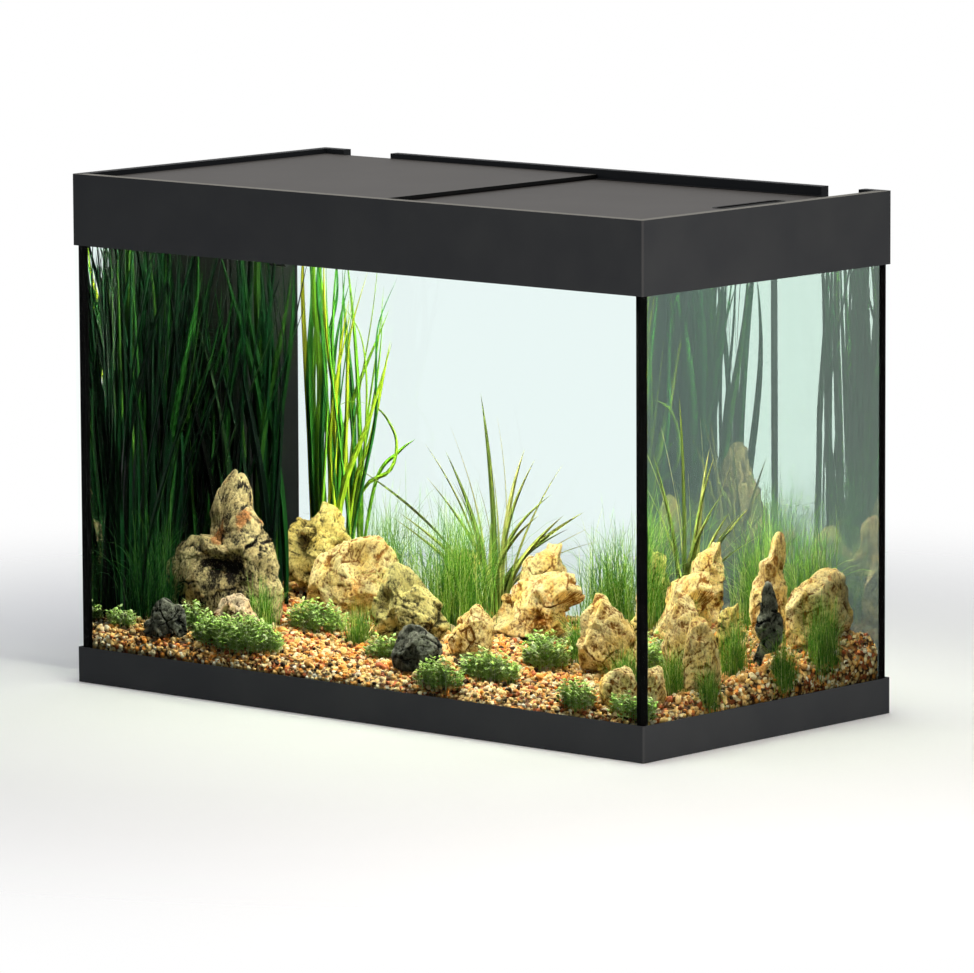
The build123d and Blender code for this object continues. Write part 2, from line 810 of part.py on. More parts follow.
with BuildPart() as gravel_bed:
    with BuildSketch(Plane.XY.offset(floor_top)):
        with BuildLine():
            Polyline(
                (-gravel_x + gravel_corner, -gravel_y),
                (gravel_x - gravel_corner, -gravel_y),
                (gravel_x, -gravel_y + gravel_corner),
                (gravel_x, gravel_y - gravel_corner),
                (gravel_x - gravel_corner, gravel_y),
                (filter_right + gravel_clearance, gravel_y),
                (filter_right + gravel_clearance, filter_front - gravel_clearance),
                (-gravel_x, filter_front - gravel_clearance),
                (-gravel_x, -gravel_y + gravel_corner),
                close=True,
            )
        make_face()
    extrude(amount=gravel_front + gravel_rise + gravel_fall)
    split(bisect_by=gravel_plane, keep=Keep.BOTTOM)
save(gravel_bed, "gravel_bed")


def ground(x, y):
    """Height of the gravel's top at a place."""
    back = (y + inside_depth / 2) / inside_depth
    return gravel_front + gravel_rise * back - gravel_fall * x / inside_width


strides = {"place": 0.618, "lean": 0.382, "tip": 0.236, "bow": 0.757, "tilt": 0.414}


def wander(index, quality):
    """A steady spread of values from -1 to 1, one for each index, with its own order for each quality."""
    return 2 * (index * strides[quality] % 1) - 1


# Rocks: broken stones whose flat seats lie on the gravel

rock_ring = 7
rock_uneven = 0.14
rock_tilt = 0.05
rock_forms = {
    # rings of each form from its seat to its top: share of the height, share of the plan size
    "boulder": ((0.0, 1.0), (0.4, 1.03), (0.74, 0.8), (0.96, 0.42)),
    "block": ((0.0, 1.0), (0.45, 1.0), (0.82, 0.88), (0.98, 0.58)),
    "pillar": ((0.0, 1.0), (0.4, 0.94), (0.76, 0.76), (0.98, 0.44)),
}


def rock_points(x, y, rock_width, rock_depth, rock_height, form="boulder", turn=0.0, lean=0.0, slope=0.0):
    """Corners of a stone: uneven rings that draw in towards its top, which may lean and slope to one side."""
    points = []
    for level, (rise, spread) in enumerate(rock_forms[form]):
        for index in range(rock_ring):
            angle = turn + 2 * pi * (index + level / 2) / rock_ring
            uneven = 1 + rock_uneven * wander(index + 5 * level, "place") if level else 1
            across = spread * uneven * cos(angle)
            px = x + lean * rise + rock_width / 2 * across
            py = y + rock_depth / 2 * spread * uneven * sin(angle)
            tilt = rock_tilt * wander(index + 3 * level, "tilt") if level else 0
            points.append((px, py, ground(px, py) + rock_height * (rise * (1 + slope * across) + tilt)))
    return points


# Places and plan sizes of the decor are in hundredths of the tank's inside, measured from its middle
percent_x = inside_width / 100
percent_y = inside_depth / 100

stones = {
    # label: x, y, width, depth, then height in millimetres, form, turn, lean in millimetres and slope
    "left_rock": [
        (-35.6, -11.2, 19.0, 19.4, 88.0, "block", 0.3, -3.0, 0.0),
        (-30.6, -10.8, 12.6, 16.0, 132.0, "pillar", 0.5, -13.0, -0.2),
        (-34.7, -9.4, 8.4, 9.6, 156.0, "block", 0.8, 3.0, 0.1),
    ],
    "middle_rocks": [
        (-27.8, 28.5, 15.0, 13.5, 108.0, "boulder", 0.8, -8.0, -0.15),
        (-18.8, 12.8, 19.5, 16.4, 84.0, "block", 0.1, 8.0, 0.3),
        (-1.4, -7.9, 13.5, 14.8, 78.0, "boulder", 0.5, -6.0, -0.4),
        (-2.5, 31.0, 7.0, 6.6, 92.0, "pillar", 0.4, -6.0, -0.2),
    ],
    "right_rocks": [
        (13.3, 20.4, 19.0, 13.0, 70.0, "block", 0.2, 8.0, 0.12),
        (9.5, 33.2, 9.2, 10.2, 106.0, "pillar", 0.6, 9.0, 0.2),
        (33.3, -7.9, 10.4, 12.8, 80.0, "block", 0.7, -10.0, -0.3),
        (34.4, 7.4, 5.2, 9.4, 84.0, "pillar", 0.3, 4.0, 0.2),
    ],
    "side_rocks": [
        (31.6, 28.6, 8.0, 12.0, 116.0, "block", 0.4, 6.0, 0.1),
        (43.0, 33.5, 7.2, 29.0, 78.0, "block", 0.0, 0.0, 0.05),
        (45.3, 8.7, 3.5, 12.2, 92.0, "pillar", 0.6, 2.0, 0.2),
        (43.8, -16.8, 7.3, 13.3, 80.0, "pillar", 0.2, 0.0, -0.25),
    ],
    "small_rocks": [
        (7.6, -36.0, 8.9, 13.2, 50.0, "boulder", 0.3, 0.0, -0.2),
        (-27.8, -27.8, 9.6, 11.0, 42.0, "block", 0.9, 0.0, 0.1),
        (-37.5, -42.1, 8.0, 10.2, 42.0, "boulder", 0.2, 0.0, 0.1),
        (9.9, -11.7, 8.4, 11.6, 56.0, "boulder", 0.5, 0.0, 0.2),
        (41.8, -35.2, 7.0, 10.2, 36.0, "block", 0.1, 0.0, 0.15),
    ],
}

for label, group in stones.items():
    with BuildPart() as rocks:
        for x, y, wide, deep, *shape in group:
            plan = (x * percent_x, y * percent_y, wide * percent_x, deep * percent_y)
            ConvexPolyhedron(rock_points(*plan, *shape))
    save(rocks, label)

# Plants: leaves stand in planes one behind the other, so that none crosses its neighbour


def leaf_outline(x, y, leaf_width, tip_shift, tip_level, bow):
    """Outline of one strap leaf in its plane: up the left edge to the tip and down the right edge."""
    left_edge = []
    right_edge = []
    for step in range(leaf_steps):
        share = step / leaf_steps
        middle = x + tip_shift * share**2 + 4 * bow * share * (1 - share)
        half = leaf_width / 2 * (1 - share**3)
        for edge, across in ((left_edge, middle - half), (right_edge, middle + half)):
            foot = ground(across, y) + leaf_seat
            edge.append((across, foot + share * (tip_level - foot)))
    return left_edge + [(x + tip_shift, tip_level)] + right_edge[::-1]


leaf_steps = 6
leaf_pitch = 0.765
side_bed_gap = 42.5
side_bed_x = (filter_right + side_bed_gap) / percent_x
leaf_beds = {
    # label: beds, each with count, x, first y and half spread in x, then in millimetres the leaf's width,
    # lean, lean spread, drop of the tips below the glass top, spread of that drop, and bow
    "dark_leaves_front": [
        (26, -47.9, -17.9, 0.8, 8.0, 10.0, 10.0, 42.0, 24.0, 3.0),
        (3, -44.1, 2.0, 0.3, 8.0, 0.0, 6.0, 42.0, 24.0, 3.0),
        (3, -41.3, 2.0, 0.3, 8.0, 0.0, 6.0, 44.0, 22.0, 3.0),
        (3, -38.5, 2.0, 0.3, 8.0, 4.0, 6.0, 40.0, 20.0, 3.0),
    ],
    "dark_leaves_side": [
        (16, side_bed_x, 3.6, 2.4, 9.0, 4.0, 14.0, 42.0, 26.0, 5.0),
    ],
    "bright_leaves": [
        (16, -28.3, 36.6, 3.2, 9.0, 14.0, 40.0, 60.0, 48.0, 10.0),
    ],
}

for label, beds in leaf_beds.items():
    with BuildPart() as leaves:
        for count, bed_x, bed_y, spread, leaf_width, lean, lean_spread, drop, drop_spread, bow in beds:
            for index in range(count):
                leaf_y = (bed_y + leaf_pitch * index) * percent_y
                outline = leaf_outline(
                    (bed_x + spread * wander(index, "place")) * percent_x,
                    leaf_y,
                    leaf_width,
                    lean + lean_spread * wander(index, "lean"),
                    glass_top - drop + drop_spread * wander(index, "tip"),
                    bow * wander(index, "bow"),
                )
                with BuildSketch(Plane.XZ.offset(-leaf_y)):
                    with BuildLine():
                        Polyline(*outline, close=True)
                    make_face()
                extrude(amount=leaf_thickness / 2, both=True)
    save(leaves, label)

sword_x = -0.2
sword_y = 36.2
sword_spread = 1.0
sword_width = 7.0
sword_tips = (
    # lean and rise of each leaf's tip in millimetres
    (-121.0, 104.0), (-63.0, 147.0), (-53.0, 176.0), (-41.0, 149.0), (-6.0, 174.0), (4.0, 120.0),
    (46.0, 174.0), (84.0, 138.0), (93.0, 115.0), (97.0, 101.0), (107.0, 82.0),
)

with BuildPart() as sword_plant:
    for index, (lean, rise) in enumerate(sword_tips):
        leaf_x = (sword_x + sword_spread * wander(index, "place")) * percent_x
        leaf_y = (sword_y + leaf_pitch * index) * percent_y
        outline = leaf_outline(leaf_x, leaf_y, sword_width, lean, ground(leaf_x, leaf_y) + rise, 0.0)
        with BuildSketch(Plane.XZ.offset(-leaf_y)):
            with BuildLine():
                Polyline(*outline, close=True)
            make_face()
        extrude(amount=leaf_thickness / 2, both=True)
save(sword_plant, "sword_plant")

grass_pitch = 0.765
grass_uneven = 0.2
grass_bend = 0.6
grass_clumps = (
    # count, x, first y, half spread in x, then height and lean spread in millimetres
    (12, -46.3, -27.5, 1.6, 120.0, 12.0),
    (5, -26.0, -21.0, 0.8, 52.0, 8.0),
    (8, -17.4, 29.6, 2.6, 118.0, 14.0),
    (5, -9.0, -17.3, 0.9, 42.0, 6.0),
    (18, -1.9, 12.8, 4.0, 128.0, 18.0),
    (12, 20.0, 38.8, 2.6, 108.0, 14.0),
    (6, 26.0, 0.0, 1.0, 58.0, 8.0),
    (8, 40.3, -27.0, 1.0, 46.0, 10.0),
    (6, 42.2, -3.0, 0.6, 60.0, 8.0),
    (7, 49.1, 7.7, 0.4, 44.0, 3.0),
    (4, 48.5, -21.4, 0.3, 40.0, 3.0),
    (8, 48.5, 25.0, 0.4, 62.0, 4.0),
    (10, 33.2, 40.0, 2.4, 104.0, 16.0),
)

with BuildPart() as hairgrass:
    for count, clump_x, clump_y, spread, grass_height, lean_spread in grass_clumps:
        for index in range(count):
            blade_y = (clump_y + grass_pitch * index) * percent_y
            blade_x = (clump_x + spread * wander(index, "place")) * percent_x
            foot = ground(blade_x, blade_y) + leaf_seat + blade_of_grass * gravel_fall / inside_width
            lean = lean_spread * wander(index, "lean")
            tall = grass_height * (1 + grass_uneven * wander(index, "tip"))
            with BuildSketch(Plane.XZ.offset(-blade_y)):
                with BuildLine():
                    Polyline(
                        (blade_x - blade_of_grass / 2, foot),
                        (blade_x + blade_of_grass / 2, foot),
                        (blade_x + blade_of_grass / 2 + lean / 3, foot + grass_bend * tall),
                        (blade_x + lean, foot + tall),
                        (blade_x - blade_of_grass / 2 + lean / 3, foot + grass_bend * tall),
                        close=True,
                    )
                make_face()
            extrude(amount=leaf_thickness / 2, both=True)
save(hairgrass, "hairgrass")

carpet_patches = (
    # x, y, width, depth, then height in millimetres
    (-46.4, -39.0, 4.6, 7.6, 22.0),
    (-35.2, -31.0, 5.4, 7.6, 34.0),
    (-23.8, -40.6, 15.0, 13.0, 36.0),
    (-18.6, -8.7, 9.0, 10.2, 34.0),
    (-1.2, -27.6, 5.4, 7.6, 28.0),
    (13.8, -45.0, 7.4, 7.2, 30.0),
    (18.8, -31.6, 9.0, 10.2, 32.0),
    (22.5, -9.2, 6.5, 11.7, 42.0),
    (37.2, -43.6, 5.0, 8.4, 30.0),
    (46.0, -44.4, 5.2, 6.6, 24.0),
)

with BuildPart() as carpet_plants:
    for x, y, wide, deep, tall in carpet_patches:
        plan = (x * percent_x, y * percent_y, wide * percent_x, deep * percent_y)
        ConvexPolyhedron(rock_points(*plan, tall))
save(carpet_plants, "carpet_plants")
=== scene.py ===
import math
from functools import partial

import bpy
import numpy as np
from bpy.props import FloatProperty, FloatVectorProperty, IntProperty, PointerProperty
from mathutils import Matrix, Vector, noise
from mathutils.bvhtree import BVHTree


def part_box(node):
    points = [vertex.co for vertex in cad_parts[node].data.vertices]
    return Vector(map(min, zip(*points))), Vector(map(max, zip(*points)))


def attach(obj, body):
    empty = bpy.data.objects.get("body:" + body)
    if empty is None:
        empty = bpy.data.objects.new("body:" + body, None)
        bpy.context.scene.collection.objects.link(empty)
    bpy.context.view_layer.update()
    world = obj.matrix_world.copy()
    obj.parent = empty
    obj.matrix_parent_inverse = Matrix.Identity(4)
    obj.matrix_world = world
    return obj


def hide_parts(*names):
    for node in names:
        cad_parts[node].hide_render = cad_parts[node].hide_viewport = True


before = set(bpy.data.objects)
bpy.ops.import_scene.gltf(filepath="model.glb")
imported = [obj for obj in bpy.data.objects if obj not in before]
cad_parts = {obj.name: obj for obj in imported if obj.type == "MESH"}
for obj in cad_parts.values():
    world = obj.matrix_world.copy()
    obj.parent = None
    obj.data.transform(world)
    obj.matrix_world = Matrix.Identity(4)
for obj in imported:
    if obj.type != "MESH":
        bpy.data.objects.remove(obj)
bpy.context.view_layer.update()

bl_info = {
    "name": "Planted aquarium",
    "version": (1, 0, 0),
    "blender": (4, 5, 0),
    "location": "View3D > Sidebar > Aquarium",
    "description": "Dresses the packed aquarium with glass, water, gravel, stones and plants",
    "category": "Object",
}

MM = 0.001
BODY = "tank"

PANES = ("bottom_pane", "front_pane", "rear_pane", "left_pane", "right_pane")
SIDES = ("front", "rear", "left", "right")
BOARDS = [f"{level}_{side}_board" for level in ("base", "top") for side in SIDES]
# Top boards whose faces that look up get a painted highlight, since these boards face the light.
HIGHLIGHTED_BOARDS = ("top_front_board", "top_right_board")
# Corners of the room between the panes and of the filter tower.
LOW = np.array([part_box("left_pane")[1].x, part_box("front_pane")[1].y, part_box("bottom_pane")[1].z])
HIGH = np.array([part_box("right_pane")[0].x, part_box("rear_pane")[0].y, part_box("front_pane")[1].z])
FILTER_LOW, FILTER_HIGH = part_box("filter_housing")

# Specular level of a surface under water, where most of its gloss goes: water bends light almost as much.
UNDER_WATER = 0.06
WATER_IOR = 1.333
# Sockets of a Mix node for colours: its share and its two colours.
SHARE, FIRST, SECOND = 0, 6, 7
FULL_TURN = 2 * math.pi
SEEDS = {"grains": 11, "pebbles": 12, "edge": 13, "leaves": 40, "hairgrass": 70, "carpet": 90}
# Vector noise takes its offsets from this seed, so that the stones come out the same each time.
noise.seed_set(5)


def linear(colour):
    """Linear RGBA of an sRGB hex colour."""
    parts = [int(colour[place:place + 2], 16) / 255 for place in (1, 3, 5)]
    return [part / 12.92 if part <= 0.04045 else ((part + 0.055) / 1.055) ** 2.4 for part in parts] + [1.0]


def per_mm(size):
    """Texture scale whose features are this many millimetres apart."""
    return 1 / (size * MM)


def add_node(tree, kind, inputs=None, ramp=None, **settings):
    """Add a shader node, set it up, and fill its inputs or link them to other nodes."""
    made = tree.nodes.new("ShaderNode" + kind)
    for key, value in settings.items():
        setattr(made, key, value)
    for index, (place, colour) in enumerate(ramp or ()):
        elements = made.color_ramp.elements
        element = elements[index] if index < 2 else elements.new(place)
        element.position = place
        element.color = linear(colour)
    for key, value in (inputs or {}).items():
        if isinstance(value, bpy.types.Node):
            value = next(socket for socket in value.outputs if socket.enabled)
        if isinstance(value, bpy.types.NodeSocket):
            tree.links.new(value, made.inputs[key])
        else:
            made.inputs[key].default_value = value
    return made


def blank(name):
    """A new material, a function that adds nodes to its empty tree, and its object coordinates."""
    made = bpy.data.materials.new(name)
    made.use_nodes = True
    made.node_tree.nodes.clear()
    add = partial(add_node, made.node_tree)
    return made, add, add("TexCoord").outputs["Object"]


# Materials


def by_facing(add, axis, along, others):
    """Colour of the faces that look along an axis, and of all the others."""
    steep = 0.8
    way = add("SeparateXYZ", {0: add("NewGeometry").outputs["True Normal"]})
    facing = add("Math", {0: way.outputs[axis], 1: steep}, operation="GREATER_THAN")
    return add("Mix", {SHARE: facing, FIRST: others, SECOND: along}, data_type="RGBA")


def clouded(add, place, dark, light, size, detail, **more):
    """Soft noise of a size in millimetres, and the tones between dark and light that follow it."""
    cloud = add("TexNoise", {"Vector": place, "Scale": per_mm(size), "Detail": detail, **more})
    return cloud, add("ValToRGB", {"Fac": cloud}, ramp=[(0.3, dark), (0.7, light)])


def grained(add, place, size, strength, depth):
    """Bump of a fine grain whose size and depth are in millimetres."""
    grain = add("TexNoise", {"Vector": place, "Scale": per_mm(size), "Detail": 2.0})
    return add("Bump", {"Height": grain, "Strength": strength, "Distance": depth * MM})


def matt_laminate(name, edge):
    # Melamine-faced board pressed with a fine matt grain: a nearly even dark grey with a dull, broad sheen.
    # The faces that look up take the edge colour: on boards that face the light, a painted highlight that
    # shows as a thin line.
    made, add, place = blank(name)
    cloud, tone = clouded(add, place, "#1e2023", "#242628", size=60, detail=4.0)
    # The pressed grain is about 0.3 mm and is drawn at 1.2 mm so that it shows.
    bump = grained(add, place, size=1.2, strength=0.12, depth=0.2)
    shine = add("MapRange", {"Value": cloud, "To Min": 0.52, "To Max": 0.62})
    skin = add("BsdfPrincipled", {
        "Base Color": by_facing(add, "Z", linear(edge), tone), "Roughness": shine, "Normal": bump,
        "Specular IOR Level": 0.09,
    })
    add("OutputMaterial", {"Surface": skin})
    return made


def cover_sheet():
    # Moulded plastic sheet with a satin top: warm dark grey that pales where it is seen at a low angle, with
    # a black strip on the ends where the covers overlap.
    made, add, place = blank("Polystyrene sheet, satin warm grey")
    _, tone = clouded(add, place, "#3c3834", "#423e3a", size=90, detail=3.0)
    # The satin's grain is about 0.2 mm and is drawn at 1 mm so that it shows.
    bump = grained(add, place, size=1.0, strength=0.1, depth=0.15)
    skin = add("BsdfPrincipled", {
        "Base Color": by_facing(add, "X", linear("#040404"), tone), "Roughness": 0.55, "Normal": bump,
        "Specular IOR Level": 0.14,
    })
    add("OutputMaterial", {"Surface": skin})
    return made


def moulded_plastic(name, dark, light, roughness, gloss, grain=1.4):
    # Injection-moulded plastic: an even colour with slight flow marks and a fine spark-eroded texture. Its
    # grain is about 0.1 mm and is drawn coarser so that it shows.
    made, add, place = blank(name)
    flow, tone = clouded(add, place, dark, light, size=35, detail=3.0, Distortion=0.6)
    bump = grained(add, place, size=grain, strength=0.15, depth=0.1)
    shine = add("MapRange", {"Value": flow, "To Min": roughness, "To Max": roughness + 0.1})
    skin = add("BsdfPrincipled", {
        "Base Color": tone, "Roughness": shine, "Normal": bump, "Specular IOR Level": gloss,
    })
    add("OutputMaterial", {"Surface": skin})
    return made


def drawn_metal(name, dark, light, roughness, line=0.8):
    # Metal with fine draw marks along its length: stretched streaks that break up its soft shine.
    made, add, place = blank(name)
    along = add("Mapping", {"Vector": place, "Scale": (0.04, 1.0, 1.0)})
    streak, tone = clouded(add, along, dark, light, size=line, detail=3.0)
    shine = add("MapRange", {"Value": streak, "To Min": roughness, "To Max": roughness + 0.15})
    bump = add("Bump", {"Height": streak, "Strength": 0.1, "Distance": 0.05 * MM})
    skin = add("BsdfPrincipled", {"Base Color": tone, "Metallic": 1.0, "Roughness": shine, "Normal": bump})
    add("OutputMaterial", {"Surface": skin})
    return made


def float_glass():
    # Clear float glass under water on one side: almost invisible face on, bright only at a low angle.
    made, add, place = blank("Float glass, clear")
    rim = add("Fresnel", {"IOR": 1.04})
    within = add("NewGeometry")
    edge = add("Math", {0: rim, 1: within.outputs["Backfacing"]}, operation="SUBTRACT", use_clamp=True)
    smear = add("TexNoise", {"Vector": place, "Scale": per_mm(120), "Detail": 3.0})
    shine = add("MapRange", {"Value": smear, "To Min": 0.0, "To Max": 0.03})
    clear = add("BsdfTransparent", {"Color": linear("#fdfffe")})
    gloss = add("BsdfGlossy", {"Color": linear("#ffffff"), "Roughness": shine})
    pane = add("MixShader", {0: edge, 1: clear, 2: gloss})
    add("OutputMaterial", {"Surface": pane})
    return made


def fresh_water(tint, density, haze, rear, top):
    # Clear tank water: it bends what stands behind it, mirrors at a low angle and turns pale blue with depth.
    # A pale green haze lies over what the rear face mirrors, because that is seen through the most water.
    made, add, place = blank("Fresh water, clear")
    light = add("LightPath")
    through = add("Math", {0: light.outputs["Is Shadow Ray"], 1: light.outputs["Is Diffuse Ray"]},
                  operation="MAXIMUM")
    inward = add("BsdfRefraction", {"Color": linear("#ffffff"), "Roughness": 0.0, "IOR": WATER_IOR})
    mirror = add("Fresnel", {"IOR": WATER_IOR})
    depth = add("SeparateXYZ", {0: place})
    at_rear = add("Math", {0: depth.outputs["Y"], 1: rear}, operation="GREATER_THAN")
    far = add("Math", {0: mirror, 1: at_rear}, operation="MULTIPLY")
    green = add("Mix", {SHARE: far, FIRST: linear("#ffffff"), SECOND: linear("#f4fbee")}, data_type="RGBA")
    outward = add("BsdfGlass", {"Color": green, "Roughness": 0.0, "IOR": WATER_IOR})
    share = add("Math", {0: far, 1: haze}, operation="MULTIPLY")
    milky = add("BsdfTransparent", {"Color": linear("#dcf0e4")})
    hazy = add("MixShader", {0: share, 1: outward, 2: milky})
    side = add("NewGeometry")
    bend = add("MixShader", {0: side.outputs["Backfacing"], 1: inward, 2: hazy})
    # Light from the bars falls in through the top; what comes through the panes loses much more on its way.
    at_top = add("Math", {0: depth.outputs["Z"], 1: top}, operation="GREATER_THAN")
    loss = add("Mix", {SHARE: at_top, FIRST: linear("#6e726e"), SECOND: linear("#ffffff")}, data_type="RGBA")
    clear = add("BsdfTransparent", {"Color": loss})
    surface = add("MixShader", {0: through, 1: bend, 2: clear})
    deep = add("VolumeAbsorption", {"Color": [*tint, 1.0], "Density": density})
    add("OutputMaterial", {"Surface": surface, "Volume": deep})
    return made


def silicone():
    # Cured black silicone pressed on glass: soot black, with next to no shine of its own.
    made, add, place = blank("Silicone sealant, black")
    ripple, tone = clouded(add, place, "#020202", "#050505", size=14, detail=2.0)
    bump = add("Bump", {"Height": ripple, "Strength": 0.2, "Distance": 0.3 * MM})
    skin = add("BsdfPrincipled", {
        "Base Color": tone, "Roughness": 0.6, "Normal": bump, "Specular IOR Level": 0.02,
    })
    add("OutputMaterial", {"Surface": skin})
    return made


def opal_lens(glow):
    # Opal acrylic over rows of white diodes: it glows evenly, a little warm.
    made, add, place = blank("Opal acrylic, lit")
    row = add("TexWave", {"Vector": place, "Scale": per_mm(20), "Distortion": 0.0}, bands_direction="X")
    tone = add("ValToRGB", {"Fac": row}, ramp=[(0.0, "#fff3dc"), (1.0, "#fffaf0")])
    skin = add("BsdfPrincipled", {
        "Base Color": linear("#f4f4f0"), "Roughness": 0.4, "Emission Color": tone,
        "Emission Strength": glow,
    })
    add("OutputMaterial", {"Surface": skin})
    return made


def open_foam(name, dark, light, cell):
    # Reticulated foam: a sponge of open cells with painted shade in the pores, dull all over.
    made, add, place = blank(name)
    pores = add("TexVoronoi", {"Vector": place, "Scale": per_mm(cell)})
    # The tone darkens towards the middle of each pore: painted shade.
    tone = add("ValToRGB", {"Fac": pores}, ramp=[(0.15, dark), (0.6, light)])
    bump = add("Bump", {"Height": pores, "Strength": 0.8, "Distance": 1.0 * MM})
    skin = add("BsdfPrincipled", {
        "Base Color": tone, "Roughness": 0.95, "Normal": bump, "Specular IOR Level": 0.1,
    })
    add("OutputMaterial", {"Surface": skin})
    return made


def tube_glass():
    # Dark tinted heater glass: smooth and glossy, with a faint coil-like banding behind it.
    made, add, place = blank("Borosilicate glass, dark tube")
    coil = add("TexWave", {"Vector": place, "Scale": per_mm(30), "Distortion": 0.3}, bands_direction="Z")
    tone = add("ValToRGB", {"Fac": coil}, ramp=[(0.3, "#0d0f10"), (0.8, "#2a2d2c")])
    skin = add("BsdfPrincipled", {"Base Color": tone, "Roughness": 0.08, "IOR": 1.47})
    add("OutputMaterial", {"Surface": skin})
    return made


GRAVEL_TONES = [
    (0.0, "#e2bc78"), (0.14, "#92502e"), (0.26, "#f9e8bc"), (0.36, "#c69656"), (0.48, "#5a3c22"),
    (0.58, "#edcb8c"), (0.70, "#b49e70"), (0.78, "#d08a40"), (0.88, "#fff7e0"), (0.94, "#36281c"),
]


def river_pebbles():
    # Washed river gravel: each grain has its own tan, brown, cream or grey, finely speckled and half smooth.
    made, add, place = blank("River gravel, washed")
    grain = add("NewGeometry")
    tone = add("ValToRGB", {"Fac": grain.outputs["Random Per Island"]}, ramp=GRAVEL_TONES)
    tone.color_ramp.interpolation = "CONSTANT"
    speck = add("TexNoise", {"Vector": place, "Scale": per_mm(1.5), "Detail": 4.0})
    shade = add("ValToRGB", {"Fac": speck}, ramp=[(0.25, "#b9a890"), (0.6, "#ffffff")])
    mixed = add("Mix", {SHARE: 1.0, FIRST: tone, SECOND: shade}, data_type="RGBA", blend_type="MULTIPLY")
    bump = add("Bump", {"Height": speck, "Strength": 0.3, "Distance": 0.3 * MM})
    skin = add("BsdfPrincipled", {
        "Base Color": mixed, "Roughness": 0.6, "Normal": bump, "Specular IOR Level": UNDER_WATER,
    })
    add("OutputMaterial", {"Surface": skin})
    return made


def packed_gravel():
    # The bed under the top grains: the same gravel packed tight, with painted shade between the grains.
    made, add, place = blank("River gravel, packed bed")
    cells = add("TexVoronoi", {"Vector": place, "Scale": per_mm(5.5)})
    split = add("SeparateColor", {0: cells.outputs["Color"]})
    tone = add("ValToRGB", {"Fac": split}, ramp=GRAVEL_TONES)
    tone.color_ramp.interpolation = "CONSTANT"
    # Painted shade: the tone darkens towards the edges of the cells, between the grains.
    gap = add("ValToRGB", {"Fac": cells.outputs["Distance"]}, ramp=[(0.4, "#ffffff"), (0.8, "#4a3624")])
    mixed = add("Mix", {SHARE: 1.0, FIRST: tone, SECOND: gap}, data_type="RGBA", blend_type="MULTIPLY")
    bump = add("Bump", {"Height": cells.outputs["Distance"], "Strength": 0.8, "Distance": 2.0 * MM},
               invert=True)
    skin = add("BsdfPrincipled", {
        "Base Color": mixed, "Roughness": 0.75, "Normal": bump, "Specular IOR Level": UNDER_WATER,
    })
    add("OutputMaterial", {"Surface": skin})
    return made


def weathered_stone(name, deep, body, pale, stain, stain_share):
    # Weathered stone: rough broken faces with rusty stains, with painted shade in cracks, pits and hollows
    # and a painted highlight on ridges.
    made, add, place = blank(name)
    stone = add("NewGeometry")
    relief = add("Attribute", attribute_name="relief")
    rust = add("Attribute", attribute_name="rust")
    _, tone = clouded(add, place, body, pale, size=26, detail=8.0, Roughness=0.72)
    patch = add("TexNoise", {"Vector": place, "Scale": per_mm(34), "Detail": 5.0, "Distortion": 1.5})
    spread = add("Math", {0: rust.outputs["Fac"], 1: 0.35, 2: patch}, operation="MULTIPLY_ADD")
    rusty = add("MapRange", {
        "Value": spread, "From Min": stain_share, "From Max": stain_share + 0.12, "To Max": 0.8,
    })
    stained = add("Mix", {SHARE: rusty, FIRST: tone, SECOND: linear(stain)}, data_type="RGBA")
    grit = add("TexNoise", {"Vector": place, "Scale": per_mm(2.8), "Detail": 7.0, "Roughness": 0.75})
    depth = add("Math", {0: grit, 1: 0.6, 2: relief.outputs["Fac"]}, operation="MULTIPLY_ADD")
    # Painted shade: low relief, in cracks, pits and hollows, turns towards the deep colour.
    dark = add("MapRange", {"Value": depth, "From Min": 0.82, "From Max": 0.65})
    painted_shade = add("Mix", {SHARE: dark, FIRST: stained, SECOND: linear(deep)}, data_type="RGBA")
    # Painted highlight: high relief, on ridges, turns towards the pale colour.
    high = add("MapRange", {"Value": depth, "From Min": 0.85, "From Max": 0.97, "To Max": 0.7})
    worn = add("Mix", {SHARE: high, FIRST: painted_shade, SECOND: linear(pale)}, data_type="RGBA")
    own = add("MapRange", {"Value": stone.outputs["Random Per Island"], "To Min": 0.82, "To Max": 1.08})
    shade = add("HueSaturation", {"Value": own, "Color": worn})
    bump = add("Bump", {"Height": grit, "Strength": 1.0, "Distance": 1.6 * MM})
    skin = add("BsdfPrincipled", {
        "Base Color": shade, "Roughness": 0.85, "Normal": bump, "Specular IOR Level": UNDER_WATER,
    })
    add("OutputMaterial", {"Surface": skin})
    return made


def leaf_skin(name, tones, vein=2.0):
    # Living leaf: every blade has its own green, with fine veins along it and a soft waxy shine.
    made, add, place = blank(name)
    blade = add("NewGeometry")
    tone = add("ValToRGB", {"Fac": blade.outputs["Random Per Island"]}, ramp=tones)
    upright = add("Mapping", {"Vector": place, "Scale": (1.0, 1.0, 0.05)})
    veins = add("TexNoise", {"Vector": upright, "Scale": per_mm(vein), "Detail": 3.0})
    shade = add("ValToRGB", {"Fac": veins}, ramp=[(0.3, "#9aa58c"), (0.65, "#ffffff")])
    mixed = add("Mix", {SHARE: 1.0, FIRST: tone, SECOND: shade}, data_type="RGBA", blend_type="MULTIPLY")
    bump = add("Bump", {"Height": veins, "Strength": 0.2, "Distance": 0.2 * MM})
    skin = add("BsdfPrincipled", {
        "Base Color": mixed, "Roughness": 0.45, "Normal": bump, "Specular IOR Level": 0.5 * UNDER_WATER,
    })
    add("OutputMaterial", {"Surface": skin})
    return made


# Building


def dress(made, *nodes):
    """Give CAD nodes a finish."""
    for name in nodes:
        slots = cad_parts[name].data.materials
        slots.clear()
        slots.append(made)


